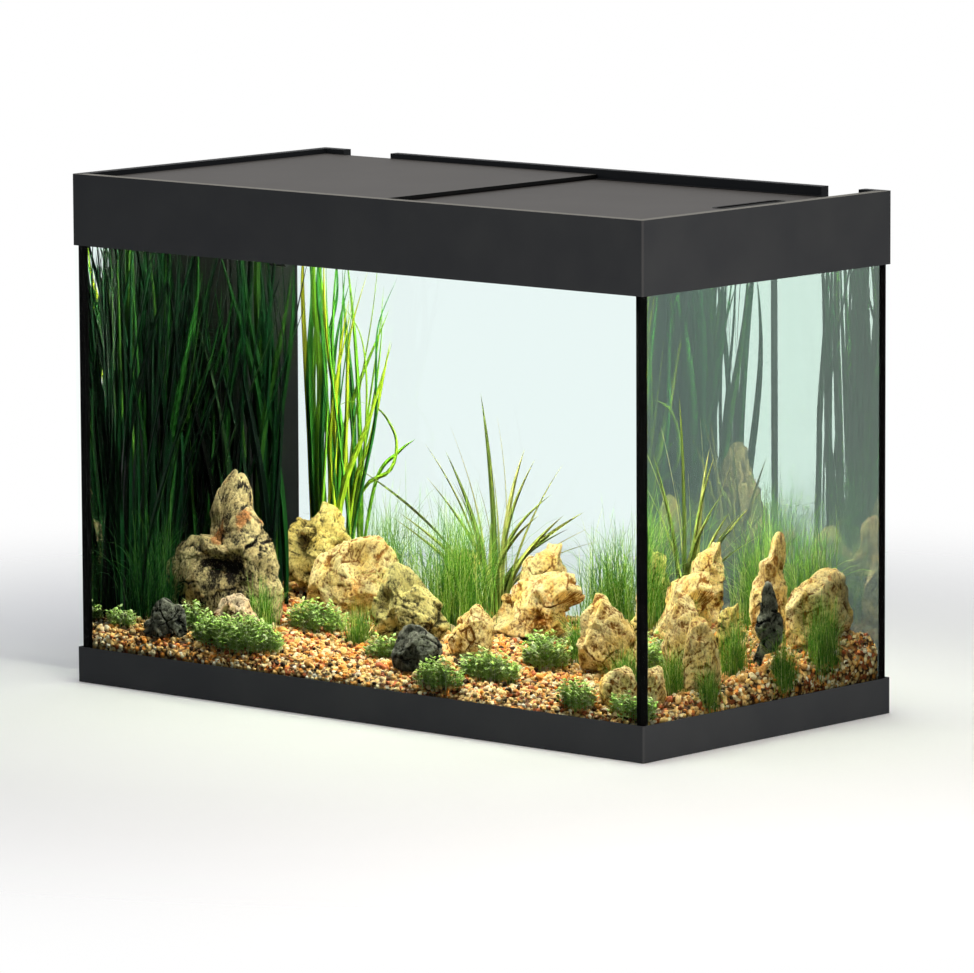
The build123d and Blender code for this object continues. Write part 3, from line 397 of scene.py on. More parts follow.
def mould(plastics):
    """Give CAD nodes moulded plastics: for each name its tones, roughness, specular level and nodes."""
    for name, (dark, light, roughness, gloss, *nodes) in plastics.items():
        dress(moulded_plastic(name, dark, light, roughness, gloss), *nodes)


def soften_edges(width, *nodes):
    """Round the long edges of CAD nodes a little, so that they catch the light."""
    for name in nodes:
        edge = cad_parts[name].modifiers.new("edge_round", "BEVEL")
        edge.width = width
        edge.segments = 2
        edge.limit_method = "ANGLE"
        edge.angle_limit = math.radians(40)


def link(name, data):
    """A new object in the scene."""
    made = bpy.data.objects.new(name, data)
    bpy.context.scene.collection.objects.link(made)
    return made


def piece(name, vertices, faces, materials, indices=None, smooth=True):
    """Link a new mesh that rides on the tank and takes the given finishes, by face where indices are given.
    """
    mesh = bpy.data.meshes.new(name)
    mesh.from_pydata([tuple(point) for point in vertices], [], faces)
    for made in materials:
        mesh.materials.append(made)
    if indices is not None:
        mesh.polygons.foreach_set("material_index", indices)
    mesh.polygons.foreach_set("use_smooth", [smooth] * len(mesh.polygons))
    mesh.update()
    made = link(name, mesh)
    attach(made, BODY)
    return made


def prism(outline, low, high):
    """Points and faces of an upright block between two heights."""
    count = len(outline)
    points = np.array([(*corner, level) for level in (low, high) for corner in outline])
    faces = [list(range(count))[::-1], list(range(count, 2 * count))]
    for start in range(count):
        end = (start + 1) % count
        faces.append([start, end, count + end, count + start])
    return points, faces


def solids_of(node):
    """The separate solids of a CAD node, from left to right: each its points and its triangles."""
    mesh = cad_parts[node].data
    mesh.calc_loop_triangles()
    points = np.array([vertex.co for vertex in mesh.vertices])
    weld = 0.01 * MM
    _, first, merged = np.unique(np.round(points / weld).astype(int), axis=0,
                                 return_index=True, return_inverse=True)
    points = points[first]
    triangles = merged.reshape(-1)[np.array([list(face.vertices) for face in mesh.loop_triangles])]
    group = np.arange(len(points))
    while True:
        low = group[triangles].min(axis=1)
        spread = group.copy()
        np.minimum.at(spread, triangles.reshape(-1), np.repeat(low, 3))
        if (spread == group).all():
            break
        group = spread
    solids = []
    for label in np.unique(group[triangles[:, 0]]):
        mine = triangles[group[triangles[:, 0]] == label]
        used, mapped = np.unique(mine, return_inverse=True)
        solids.append((points[used], mapped.reshape(-1, 3)))
    return sorted(solids, key=lambda solid: solid[0][:, 0].mean())


def ball(steps):
    """Directions and quads of a ball made from a cube whose faces are cut into squares."""
    line = np.tan(np.linspace(-math.pi / 4, math.pi / 4, steps + 1))
    one, two = np.meshgrid(line, line, indexing="ij")
    sheets = []
    for axis in range(3):
        for sign in (-1, 1):
            sheet = np.empty(one.shape + (3,))
            sheet[..., axis] = sign
            sheet[..., (axis + 1) % 3] = one if sign > 0 else two
            sheet[..., (axis + 2) % 3] = two if sign > 0 else one
            sheets.append(sheet.reshape(-1, 3))
    points = np.concatenate(sheets)
    _, first, merged = np.unique(np.round(points, 6), axis=0, return_index=True, return_inverse=True)
    merged = merged.reshape(-1)
    quads = []
    for sheet in range(6):
        for row in range(steps):
            for column in range(steps):
                start = sheet * (steps + 1) ** 2 + row * (steps + 1) + column
                corners = (start, start + steps + 1, start + steps + 2, start + 1)
                quads.append([int(merged[corner]) for corner in corners])
    points = points[first]
    return points / np.linalg.norm(points, axis=1, keepdims=True), quads


def grain_hull():
    """Directions and triangles of a regular solid with twenty faces."""
    golden = (1 + math.sqrt(5)) / 2
    points = np.array([np.roll((0, one, two * golden), shift)
                       for shift in range(3) for one in (-1, 1) for two in (-1, 1)])
    # Neighbouring corners are 2 apart.
    near = np.linalg.norm(points[:, None] - points, axis=2) < 2.1
    faces = []
    for one in range(len(points)):
        for two in range(one):
            for three in range(two):
                if near[one, two] and near[two, three] and near[one, three]:
                    outward = np.linalg.det(points[[one, two, three]]) > 0
                    faces.append([one, two, three] if outward else [one, three, two])
    return points / math.hypot(1, golden), faces


def sweep(path, across, half_width, half_thickness):
    """A closed blade along a path that narrows to its tip, flat on one face and ridged on the other."""
    along = np.gradient(path, axis=0)
    along /= np.linalg.norm(along, axis=1, keepdims=True)
    across = across - along * (across * along).sum(axis=1, keepdims=True)
    across /= np.linalg.norm(across, axis=1, keepdims=True)
    face = np.cross(along, across)
    wide = across * half_width[:, None]
    thick = face * half_thickness[:, None]
    rings = np.stack([path - wide, path + wide, path + thick], axis=1)
    points = np.concatenate([rings[:-1].reshape(-1, 3), path[-1:]])
    faces = [[2, 1, 0]]
    for start in range(0, 3 * (len(path) - 2), 3):
        for side in range(3):
            turn = (side + 1) % 3
            faces.append([start + side, start + turn, start + 3 + turn, start + 3 + side])
    last = 3 * (len(path) - 2)
    for side in range(3):
        faces.append([last + side, last + (side + 1) % 3, last + 3])
    return points, faces


def smooth_line(corners, count):
    """Points along a smooth line through the given ones, evenly shared among them."""
    corners = np.array(corners, dtype=float)
    padded = np.concatenate([[2 * corners[0] - corners[1]], corners, [2 * corners[-1] - corners[-2]]])
    line = []
    for place in np.linspace(0, len(corners) - 1 - 1e-9, count):
        first = int(place)
        t = place - first
        before, start, end, after = padded[first:first + 4]
        square = 2 * before - 5 * start + 4 * end - after
        cube = 3 * start - before - 3 * end + after
        line.append(0.5 * (2 * start + (end - before) * t + square * t ** 2 + cube * t ** 3))
    return np.array(line)


class Heap:
    """Gathers many small meshes into one."""

    def __init__(self):
        self.points = []
        self.faces = []
        self.indices = []
        self.count = 0

    def put(self, points, faces, index=0):
        """Add one mesh with its material index."""
        self.points.append(points)
        self.faces.extend([corner + self.count for corner in face] for face in faces)
        self.indices.extend([index] * len(faces))
        self.count += len(points)

    def build(self, name, materials):
        """Turn everything gathered so far into one piece."""
        return piece(name, np.concatenate(self.points), self.faces, materials, self.indices)


def ground_level():
    """Height of the gravel's top at any place: the CAD bed's, sloping off towards front and right."""
    points, _ = solids_of("gravel_bed")[0]
    skirt, slope = 5 * MM, 26 * MM
    top = points[points[:, 2] > points[:, 2].min() + skirt]
    fit, *_ = np.linalg.lstsq(np.c_[top[:, :2], np.ones(len(top))], top[:, 2], rcond=None)
    right, front = points[:, 0].max(), points[:, 1].min()

    def level(x, y):
        sides = ((right - x, 20 * MM), (y - front, 9 * MM))
        drop = sum(deep * max(0.0, 1 - away / slope) ** 1.5 for away, deep in sides)
        return fit[0] * x + fit[1] * y + fit[2] - drop

    return level


GROUND = ground_level()


# Settings


class AquariumFrame(bpy.types.PropertyGroup):
    """Frame and covers."""
    edge_round: FloatProperty(name="Edge round", description="Rounding of the board edges",
                              default=0.5 * MM, unit="LENGTH")


class AquariumWater(bpy.types.PropertyGroup):
    """Water and light."""
    level: FloatProperty(name="Water level", description="Height of the waterline above the floor",
                         default=490 * MM, unit="LENGTH")
    gap: FloatProperty(name="Gap", description="Gap that keeps the water off the glass",
                       default=0.2 * MM, unit="LENGTH")
    tint: FloatVectorProperty(name="Tint", description="Colour that deep water takes on", subtype="COLOR",
                              default=(0.0, 0.42, 0.56))
    density: FloatProperty(name="Tint density", description="Strength of the tint per metre", default=0.26)
    haze: FloatProperty(name="Haze", description="Share of haze on what the rear face mirrors", default=0.18)
    glow: FloatProperty(name="Lamp glow", description="Brightness of the light bars", default=210.0)


class AquariumGround(bpy.types.PropertyGroup):
    """Gravel and stones."""
    grains: IntProperty(name="Grains", description="Number of small grains on the bed", default=8200)
    pebbles: IntProperty(name="Pebbles", description="Number of larger pebbles on the bed", default=640)
    grain: FloatProperty(name="Grain size", description="Mean length of a small grain",
                         default=7.2 * MM, unit="LENGTH")
    pebble: FloatProperty(name="Pebble size", description="Mean length of a larger pebble",
                          default=12 * MM, unit="LENGTH")
    detail: FloatProperty(name="Stone detail", description="Size of the facets on the stones",
                          default=1.9 * MM, unit="LENGTH")


class AquariumPlants(bpy.types.PropertyGroup):
    """Plants."""
    strands: IntProperty(name="Strands", description="Grass strands for each blade of the plan", default=48)
    stems: IntProperty(name="Stems", description="Stems in each square decimetre of carpet", default=640)
    leaflet: FloatProperty(name="Leaflet", description="Length of a carpet leaf",
                           default=5.4 * MM, unit="LENGTH")


class AquariumStage(bpy.types.PropertyGroup):
    """Studio."""
    key: FloatProperty(name="Key light", description="Power of the large light on the right",
                       default=64.0, unit="POWER")
    fill: FloatProperty(name="Fill light", description="Power of the light above",
                        default=24.0, unit="POWER")
    ambient: FloatProperty(name="Ambient", description="Brightness of the surroundings on matt surfaces",
                           default=0.42)


# Operators


class AQUARIUM_OT_frame(bpy.types.Operator):
    """Finish the frame boards, their keys, screws and glide pads, and the cover rails"""
    bl_idname = "aquarium.frame"
    bl_label = "Frame"

    def execute(self, context):
        dress(matt_laminate("Melamine laminate, matt anthracite", "#1e2023"), *BOARDS)
        # The front and right top boards get a painted highlight on their top faces, where they face the
        # light.
        banded = matt_laminate("Melamine laminate, matt anthracite with a grey edge band", "#7b776d")
        dress(banded, *HIGHLIGHTED_BOARDS)
        soften_edges(context.scene.aquarium_frame.edge_round, *BOARDS)
        mould({
            "ABS rail, moulded black": ("#0b0b0c", "#111112", 0.5, 0.15,
                                        "front_cover_rail", "rear_cover_rail"),
            "Rubber, moulded black": ("#121212", "#1c1c1b", 0.8, 0.5, "glide_pads"),
        })
        dress(drawn_metal("Aluminium, drawn", "#8d9092", "#b4b7b8", roughness=0.35),
              "base_corner_keys", "top_corner_keys")
        dress(drawn_metal("Steel, zinc plated", "#8f8f8c", "#c2c1bb", roughness=0.28, line=0.4),
              "base_key_screws", "top_key_screws", "rail_screws")
        return {"FINISHED"}


class AQUARIUM_OT_glass(bpy.types.Operator):
    """Finish the glass tank and its silicone"""
    bl_idname = "aquarium.glass"
    bl_label = "Glass tank"

    def execute(self, context):
        dress(float_glass(), *PANES)
        sealant = silicone()
        dress(sealant, "corner_seals", "floor_seals")
        heap = Heap()
        self.film(heap, LOW[0], inward=1, side_leg=1 * MM)
        self.film(heap, HIGH[0], inward=-1, side_leg=8 * MM)
        heap.build("front_corner_film", [sealant])
        return {"FINISHED"}

    def film(self, heap, x, inward, side_leg):
        """The film of sealant that is pressed flat on the glass beside a front corner."""
        leg, gap, skin = 8 * MM, 0.03 * MM, 0.15 * MM
        rim = [(gap, gap), (leg, gap), (leg, skin), (skin, skin), (skin, side_leg), (gap, side_leg)]
        rim = [(x + inward * across, LOW[1] + away) for across, away in rim][::inward]
        heap.put(*prism(rim, LOW[2] + gap, HIGH[2] - gap))


class AQUARIUM_OT_covers(bpy.types.Operator):
    """Finish the sliding covers and the finger grip"""
    bl_idname = "aquarium.covers"
    bl_label = "Covers"

    def execute(self, context):
        dress(cover_sheet(), "left_cover", "right_cover")
        mould({"ABS grip, moulded black": ("#040404", "#080808", 0.5, 0.05, "finger_grip")})
        return {"FINISHED"}


class AQUARIUM_OT_lights(bpy.types.Operator):
    """Finish the light bars"""
    bl_idname = "aquarium.lights"
    bl_label = "Light bars"

    def execute(self, context):
        dress(drawn_metal("Aluminium, extruded and anodised", "#a3a6a8", "#bec1c3", roughness=0.4),
              "light_housings")
        dress(opal_lens(context.scene.aquarium_water.glow), "light_diffusers")
        mould({
            "Polycarbonate, moulded black": ("#121314", "#1b1c1d", 0.45, 0.5,
                                             "light_end_caps", "light_clips"),
        })
        return {"FINISHED"}


class AQUARIUM_OT_filter(bpy.types.Operator):
    """Finish the filter tower, pump and heater, and make the filter foams"""
    bl_idname = "aquarium.filter"
    bl_label = "Filter and heater"

    def execute(self, context):
        mould({
            "ABS filter tower, moulded black": ("#040504", "#080a08", 0.5, UNDER_WATER,
                                                "filter_housing", "intake_grille"),
            "ABS filter lid, moulded black": ("#010101", "#020202", 0.6, 0.0, "filter_lid"),
            "ABS pump, glossy black": ("#101112", "#191a1b", 0.25, UNDER_WATER,
                                       "pump_body", "impeller_cover"),
            "ABS outlet, moulded dark grey": ("#0b0c0c", "#111213", 0.4, UNDER_WATER,
                                              "outlet_pipe", "outlet_nozzle"),
            "Acetal rotor, natural white": ("#dcdad2", "#eceae2", 0.35, 0.5, "impeller"),
            "Nylon heater head, moulded black": ("#020202", "#040404", 0.6, 0.0, "heater_head"),
            "Nylon dial, moulded red": ("#8e1a16", "#a8231c", 0.4, 0.5, "heater_dial"),
        })
        dress(silicone(), "glue_pads")
        alumina = moulded_plastic("Alumina shaft, ground white", "#e6e3dc", "#f3f1ec",
                                  roughness=0.2, gloss=0.5, grain=0.6)
        dress(alumina, "impeller_shaft")
        dress(tube_glass(), "heater_tube")
        self.foam("coarse_foam", open_foam("Polyether foam, coarse black", "#060707", "#1c1e1f", cell=3.2))
        self.foam("fine_foam", open_foam("Polyether foam, fine grey", "#0c0d0d", "#2a2c2d", cell=1.8))
        return {"FINISHED"}

    def foam(self, node, made):
        """A foam block with slightly waisted sides and open cells that break up its faces."""
        low, high = (np.array(corner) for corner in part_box(node))
        facets, pore_size, inset, pore_depth = 26, 7, 0.6 * MM, 0.5 * MM
        directions, quads = ball(facets)
        cube = directions / np.abs(directions).max(axis=1, keepdims=True)
        middle = (low + high) / 2
        half = (high - low) / 2 - inset
        points = middle + cube * half
        for row, point in enumerate(points):
            pore = noise.noise(Vector(point) * per_mm(pore_size))
            pull = pore_depth * (pore - 1) * (1 - 0.6 * abs(cube[row][2]))
            points[row] = point + directions[row] * pull
        block = piece(node + "_block", points, quads, [made])
        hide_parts(node)


class AQUARIUM_OT_water(bpy.types.Operator):
    """Fill the tank with water up to its line"""
    bl_idname = "aquarium.water"
    bl_label = "Water"

    def execute(self, context):
        settings = context.scene.aquarium_water
        left, front, floor = LOW + settings.gap
        right, rear, _ = HIGH - settings.gap
        corner = 1.0 * MM
        outline = [
            (left + corner, front), (right - corner, front), (right, front + corner), (right, rear - corner),
            (right - corner, rear), (left + corner, rear), (left, rear - corner), (left, front + corner),
        ]
        points, faces = prism(outline, floor, settings.level)
        made = fresh_water(settings.tint, settings.density, settings.haze, rear - corner / 2,
                           settings.level - corner / 2)
        piece("water", points, faces, [made], smooth=False)
        return {"FINISHED"}


class AQUARIUM_OT_gravel(bpy.types.Operator):
    """Lay the gravel bed and strew grains and pebbles on it"""
    bl_idname = "aquarium.gravel"
    bl_label = "Gravel"

    # Places where the larger pebbles gather, and how far they spread about them.
    clusters = ((0.015, -0.07), (0.34, 0.03))
    cluster_spread = 40 * MM

    def execute(self, context):
        settings = context.scene.aquarium_ground
        self.bed()
        self.strew("gravel_grains", settings.grains, settings.grain, grain_hull(), SEEDS["grains"])
        self.strew("gravel_pebbles", settings.pebbles, settings.pebble, ball(3), SEEDS["pebbles"],
                   self.clusters)
        self.line_panes(settings.grain, SEEDS["edge"])
        return {"FINISHED"}

    def bed(self):
        """The CAD bed with a rippled top, and with room for the grains against the panes."""
        low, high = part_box("gravel_bed")
        step, clear = 8 * MM, 0.4 * MM
        room = Vector((2.5 * MM, 2.5 * MM, 0))
        sink, ripple, ripple_size = 1.5 * MM, 2.0 * MM, 40
        low, high = low + room, high - room
        columns = int((high.x - low.x) / step)
        rows = int((high.y - low.y) / step)
        xs = np.linspace(low.x, high.x, columns + 1)
        ys = np.linspace(low.y, high.y, rows + 1)
        split_x = int(np.argmin(np.abs(xs - FILTER_HIGH.x)))
        split_y = int(np.argmin(np.abs(ys - FILTER_LOW.y)))
        xs[split_x] = FILTER_HIGH.x + clear
        ys[split_y] = FILTER_LOW.y - clear

        def inside(column, row):
            return 0 <= column < columns and 0 <= row < rows and not (column < split_x and row >= split_y)

        index = {}
        points = []
        faces = []

        def corner(column, row, top):
            key = (column, row, top)
            if key not in index:
                x, y = xs[column], ys[row]
                level = low.z
                if top:
                    wave = noise.noise(Vector((x, y, 0)) * per_mm(ripple_size))
                    level = GROUND(x, y) - sink + ripple * wave
                index[key] = len(points)
                points.append((x, y, level))
            return index[key]

        for column in range(columns):
            for row in range(rows):
                if not inside(column, row):
                    continue
                ring = [(column, row), (column + 1, row), (column + 1, row + 1), (column, row + 1)]
                faces.append([corner(*place, True) for place in ring])
                faces.append([corner(*place, False) for place in ring[::-1]])
                beyond = [(column, row - 1), (column + 1, row), (column, row + 1), (column - 1, row)]
                for side, neighbour in enumerate(beyond):
                    if not inside(*neighbour):
                        one, two = ring[side], ring[(side + 1) % 4]
                        faces.append([corner(*one, False), corner(*two, False), corner(*two, True),
                                      corner(*one, True)])
        bed = piece("gravel_base", points, faces, [packed_gravel()])
        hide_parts("gravel_bed")

    def grain(self, draw, size, hull):
        """One grain of random shape and turn about the origin."""
        directions, faces = hull
        long = size * draw.uniform(0.65, 1.3)
        shape = np.array([1.0, draw.uniform(0.6, 0.95), draw.uniform(0.45, 0.75)]) * long / 2
        turn = Matrix.Rotation(draw.uniform(0, FULL_TURN), 3, "Z")
        turn = turn @ Matrix.Rotation(draw.normal(0, 0.35), 3, "X")
        turn = turn @ Matrix.Rotation(draw.normal(0, 0.35), 3, "Y")
        dents = 1 + draw.uniform(-0.2, 0.12, len(directions))
        return (directions * dents[:, None] * shape) @ np.array(turn).T, faces

    def strew(self, name, count, size, hull, seed, clusters=()):
        """Grains that lie on the bed, half of them about the clusters if there are any."""
        draw = np.random.default_rng(seed)
        low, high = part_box("gravel_bed")
        heap = Heap()
        margin = size * 0.75
        while heap.count < count * len(hull[0]):
            x = draw.uniform(low.x + margin, high.x - margin)
            y = draw.uniform(low.y + margin, high.y - margin)
            if clusters and draw.uniform() < 0.5:
                x, y = draw.normal(clusters[draw.integers(len(clusters))], self.cluster_spread)
            if not (low.x + margin < x < high.x - margin and low.y + margin < y < high.y - margin):
                continue
            if x < FILTER_HIGH.x + margin and y > FILTER_LOW.y - margin:
                continue
            points, faces = self.grain(draw, size, hull)
            heap.put(points + [x, y, GROUND(x, y) + draw.uniform(-0.1, 0.35) * size / 2], faces)
        heap.build(name, [river_pebbles()])

    def line_panes(self, size, seed):
        """Grains that lie against the panes, from the floor up to the top of the bed."""
        draw = np.random.default_rng(seed)
        low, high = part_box("gravel_bed")
        hull = grain_hull()
        heap = Heap()
        runs = [
            ((low.x, low.y), (high.x, low.y), (0, 1)),
            ((high.x, low.y), (high.x, high.y), (-1, 0)),
            ((high.x, high.y), (FILTER_HIGH.x, high.y), (0, -1)),
            ((low.x, FILTER_LOW.y), (low.x, low.y), (1, 0)),
        ]
        spacing, inset, small = 0.42 * size, 0.45 * size, 0.8 * size
        for start, end, inward in runs:
            start, end, inward = np.array(start), np.array(end), np.array(inward)
            for _ in range(int(np.linalg.norm(end - start) / spacing)):
                spot = start + (end - start) * draw.uniform(0.004, 0.996) + inset * inward
                level = low.z + 0.4 * size
                while level < GROUND(*spot):
                    points, faces = self.grain(draw, small, hull)
                    flat = points.copy()
                    flat[:, :2] -= 0.5 * np.outer(points[:, :2] @ inward, inward)
                    heap.put(flat + [*spot, level], faces)
                    level += size * draw.uniform(0.5, 0.9)
        heap.build("gravel_edge", [river_pebbles()])


class AQUARIUM_OT_stones(bpy.types.Operator):
    """Carve the stones out of their CAD hulls"""
    bl_idname = "aquarium.stones"
    bl_label = "Stones"

    tones = {
        # finish: name, colours of the painted shade in cracks, pits and hollows, of the body, of the painted
        # highlight on ridges and of stains, least stain share
        "ochre": ("Limestone, weathered ochre", "#6b4212", "#e6bc5a", "#fff4c0", "#b8741f", 0.62),
        "grey": ("Limestone, weathered grey", "#0e0a06", "#6a5632", "#cbbb8a", "#7e4210", 0.62),
        "olive": ("Limestone, weathered olive", "#382c0c", "#b09440", "#eedc90", "#8f6420", 0.62),
        "moss": ("Limestone, grey green", "#2a2512", "#857a40", "#c0b478", "#8c5f2a", 0.62),
        "lava": ("Lava rock, dark grey", "#030403", "#191b17", "#86887a", "#241d16", 0.66),
        "banded": ("Sandstone, banded brown", "#3a2412", "#b98f5e", "#f6e8cc", "#8a5226", 0.56),
    }
    # For each stone of a node, from left to right: its finish and how many broken faces cut it.
    kinds = {
        "left_rock": [("grey", 0)],
        "middle_rocks": [("olive", 8), ("ochre", 8), ("olive", 9), ("moss", 8)],
        "right_rocks": [("ochre", 7), ("ochre", 9), ("ochre", 7), ("olive", 8)],
        "side_rocks": [("ochre", 8), ("ochre", 7), ("ochre", 7), ("lava", 8)],
        "small_rocks": [("lava", 9), ("banded", 9), ("lava", 9), ("ochre", 8), ("ochre", 8)],
    }
    # By node and stone, hollows: a direction from its middle, a spread in radians and a depth in millimetres.
    hollows = {
        ("left_rock", 0): [((0.75, -0.8, -0.25), 0.42, 20), ((0.1, -1.0, -0.25), 0.48, 24),
                           ((-0.35, -0.9, -0.1), 0.28, 12)],
        ("right_rocks", 1): [((0.3, -1.0, -0.3), 0.4, 10)],
    }
    # And rusty stains: a direction and a spread.
    stains = {("left_rock", 0): [((-0.05, -0.6, 1.0), 0.5), ((0.7, -0.25, 1.0), 0.3)]}

    def execute(self, context):
        finishes = {kind: weathered_stone(*look) for kind, look in self.tones.items()}
        order = list(finishes)
        detail = context.scene.aquarium_ground.detail
        for node, stones in self.kinds.items():
            heap = Heap()
            looks = {"relief": [], "rust": []}
            for number, (solid, (kind, cuts)) in enumerate(zip(solids_of(node), stones)):
                hollows = self.hollows.get((node, number), ())
                stains = self.stains.get((node, number), ())
                seed = len(node) + 7 * number
                points, quads, relief, rust = self.carve(solid, cuts, hollows, stains, detail, seed)
                heap.put(points, quads, order.index(kind))
                looks["relief"].extend(relief)
                looks["rust"].extend(rust)
            made = heap.build(node + "_carved", list(finishes.values()))
            for look, values in looks.items():
                made.data.attributes.new(look, "FLOAT", "POINT").data.foreach_set("value", values)
            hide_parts(node)
        return {"FINISHED"}

    def carve(self, solid, cuts, hollows, stains, detail, seed):
        """Points, quads, relief and rust of one stone that is cut out of its CAD hull."""
        corners, triangles = solid
        middle = (corners.min(axis=0) + corners.max(axis=0)) / 2
        middle[2] -= 0.1 * np.ptp(corners[:, 2])
        span = np.ptp(corners, axis=0).max()
        # A stone under 120 mm has finer forms.
        size = min(1.0, span / (120 * MM))
        directions, quads = ball(int(np.clip(0.95 * span / detail, 20, 64)))
        tree = BVHTree.FromPolygons([tuple(point) for point in corners], triangles.tolist())
        reach = np.empty(len(directions))
        for row, way in enumerate(directions):
            hit = tree.ray_cast(Vector(middle + 2 * span * way), Vector(-way))[0]
            reach[row] = (hit - Vector(middle)).length
        reach = self.chip(reach, directions, quads, cuts, size, seed)
        cave = np.zeros(len(directions))
        for way, spread, deep in hollows:
            near = self.nearness(directions, way, 1.6 * spread)
            reach = reach - deep * MM * near
            cave = np.maximum(cave, near)
        rust = np.zeros(len(directions))
        for way, spread in stains:
            rust = np.maximum(rust, self.nearness(directions, way, spread))
        points = middle + directions * reach[:, None]
        blocky = 7.0 if cuts else 20.0
        # Hollows lower the relief further, so that the finish paints shade in them.
        relief = self.roughen(points, directions, size, blocky, seed) - 0.2 * cave
        buried = 4 * MM
        floor = np.array([GROUND(point[0], point[1]) for point in points]) - buried
        points[:, 2] = np.maximum(points[:, 2], floor)
        return points, quads, relief, rust

    def chip(self, reach, directions, quads, cuts, size, seed):
        """How far a stone reaches in each direction, after broad broken faces, small chips and worn edges."""
        draw = np.random.default_rng(seed)
        for _ in range(cuts):
            way = draw.normal(0, 1, 3) * (1, 1, 0.6)
            facing = directions @ (way / np.linalg.norm(way))
            limit = draw.uniform(0.8, 0.95) * (reach * facing).max()
            reach = np.where(facing > 0.1, np.minimum(reach, limit / np.maximum(facing, 0.1)), reach)
        for _ in range(4 * cuts):
            row = draw.integers(len(directions))
            way = directions[row] + draw.normal(0, 0.15, 3)
            facing = directions @ (way / np.linalg.norm(way))
            limit = reach[row] * facing[row] - draw.uniform(0.2, 2.2) * MM * size
            chipped = (directions @ directions[row] > 0.9) & (facing > 0.3)
            reach = np.where(chipped, np.minimum(reach, limit / np.maximum(facing, 0.3)), reach)
        edges = np.array([(quad[side], quad[(side + 1) % 4]) for quad in quads for side in range(4)])
        joined = np.bincount(edges[:, 0], minlength=len(reach))
        for _ in range(6):
            beside = np.bincount(edges[:, 0], reach[edges[:, 1]], len(reach)) / joined
            reach = np.minimum(reach, beside + 0.15 * MM)
        return reach

    def roughen(self, points, directions, size, blocky, seed):
        """Raise ledges, cracks, pits and grit on a stone, and give the relief that its finish follows:
        painted shade where it is low and a painted highlight where it is high.
        """
        shift = Vector((13.1, 7.7, 3.3)) * seed
        layers = Vector((0.35 * math.sin(seed), 0.3 * math.cos(3 * seed), 0.9))
        block, bed_gap, pit_gap = 34 * size, 15 * size, 6
        relief = np.empty(len(points))
        for row, point in enumerate(points):
            place = Vector(point) * per_mm(1) + shift
            place += noise.noise_vector(place / 36) * 9 * size
            broad = noise.fractal(place / (46 * size), 1.0, 2.0, 3)
            torn = noise.ridged_multi_fractal(place / (24 * size), 0.9, 2.2, 5, 0.9, 1.8) - 1.0
            bed = place.dot(layers) / bed_gap + 0.8 * noise.noise(place / 24)
            ledge = abs(2 * (bed % 1) - 1) ** 4
            away, spots = noise.voronoi(place / block)
            tilt = (place / block - spots[0]).dot(noise.noise_vector(3.7 * spots[0]))
            crack = max(0.0, 1 - (away[1] - away[0]) / 0.07) * max(0.0, min(1.0, 0.4 + 2 * broad))
            pit = max(0.0, 1 - noise.voronoi(place / pit_gap)[0][0] / 0.4)
            grit = noise.fractal(place / 6, 0.5, 2.1, 4)
            rise = size * (1.4 * broad + 1.3 * torn - 1.0 * ledge - 3.4 * crack + blocky * tilt)
            rise += 0.6 * grit - 0.8 * pit
            # Cracks, pits and ledges sink the relief, where the finish paints shade; torn ridges and grit
            # raise it, where it paints a highlight.
            relief[row] = 0.5 + 0.08 * torn - 0.07 * ledge - 0.26 * crack - 0.16 * pit + 0.08 * grit
            points[row] = point + directions[row] * rise * MM
        return relief

    def nearness(self, directions, way, spread):
        """1 in a given direction, falling smoothly to 0 over the spread in radians."""
        way = np.array(way) / np.linalg.norm(way)
        near = np.clip(1 - np.arccos(np.clip(directions @ way, -1, 1)) / spread, 0, 1)
        return near ** 2 * (3 - 2 * near)


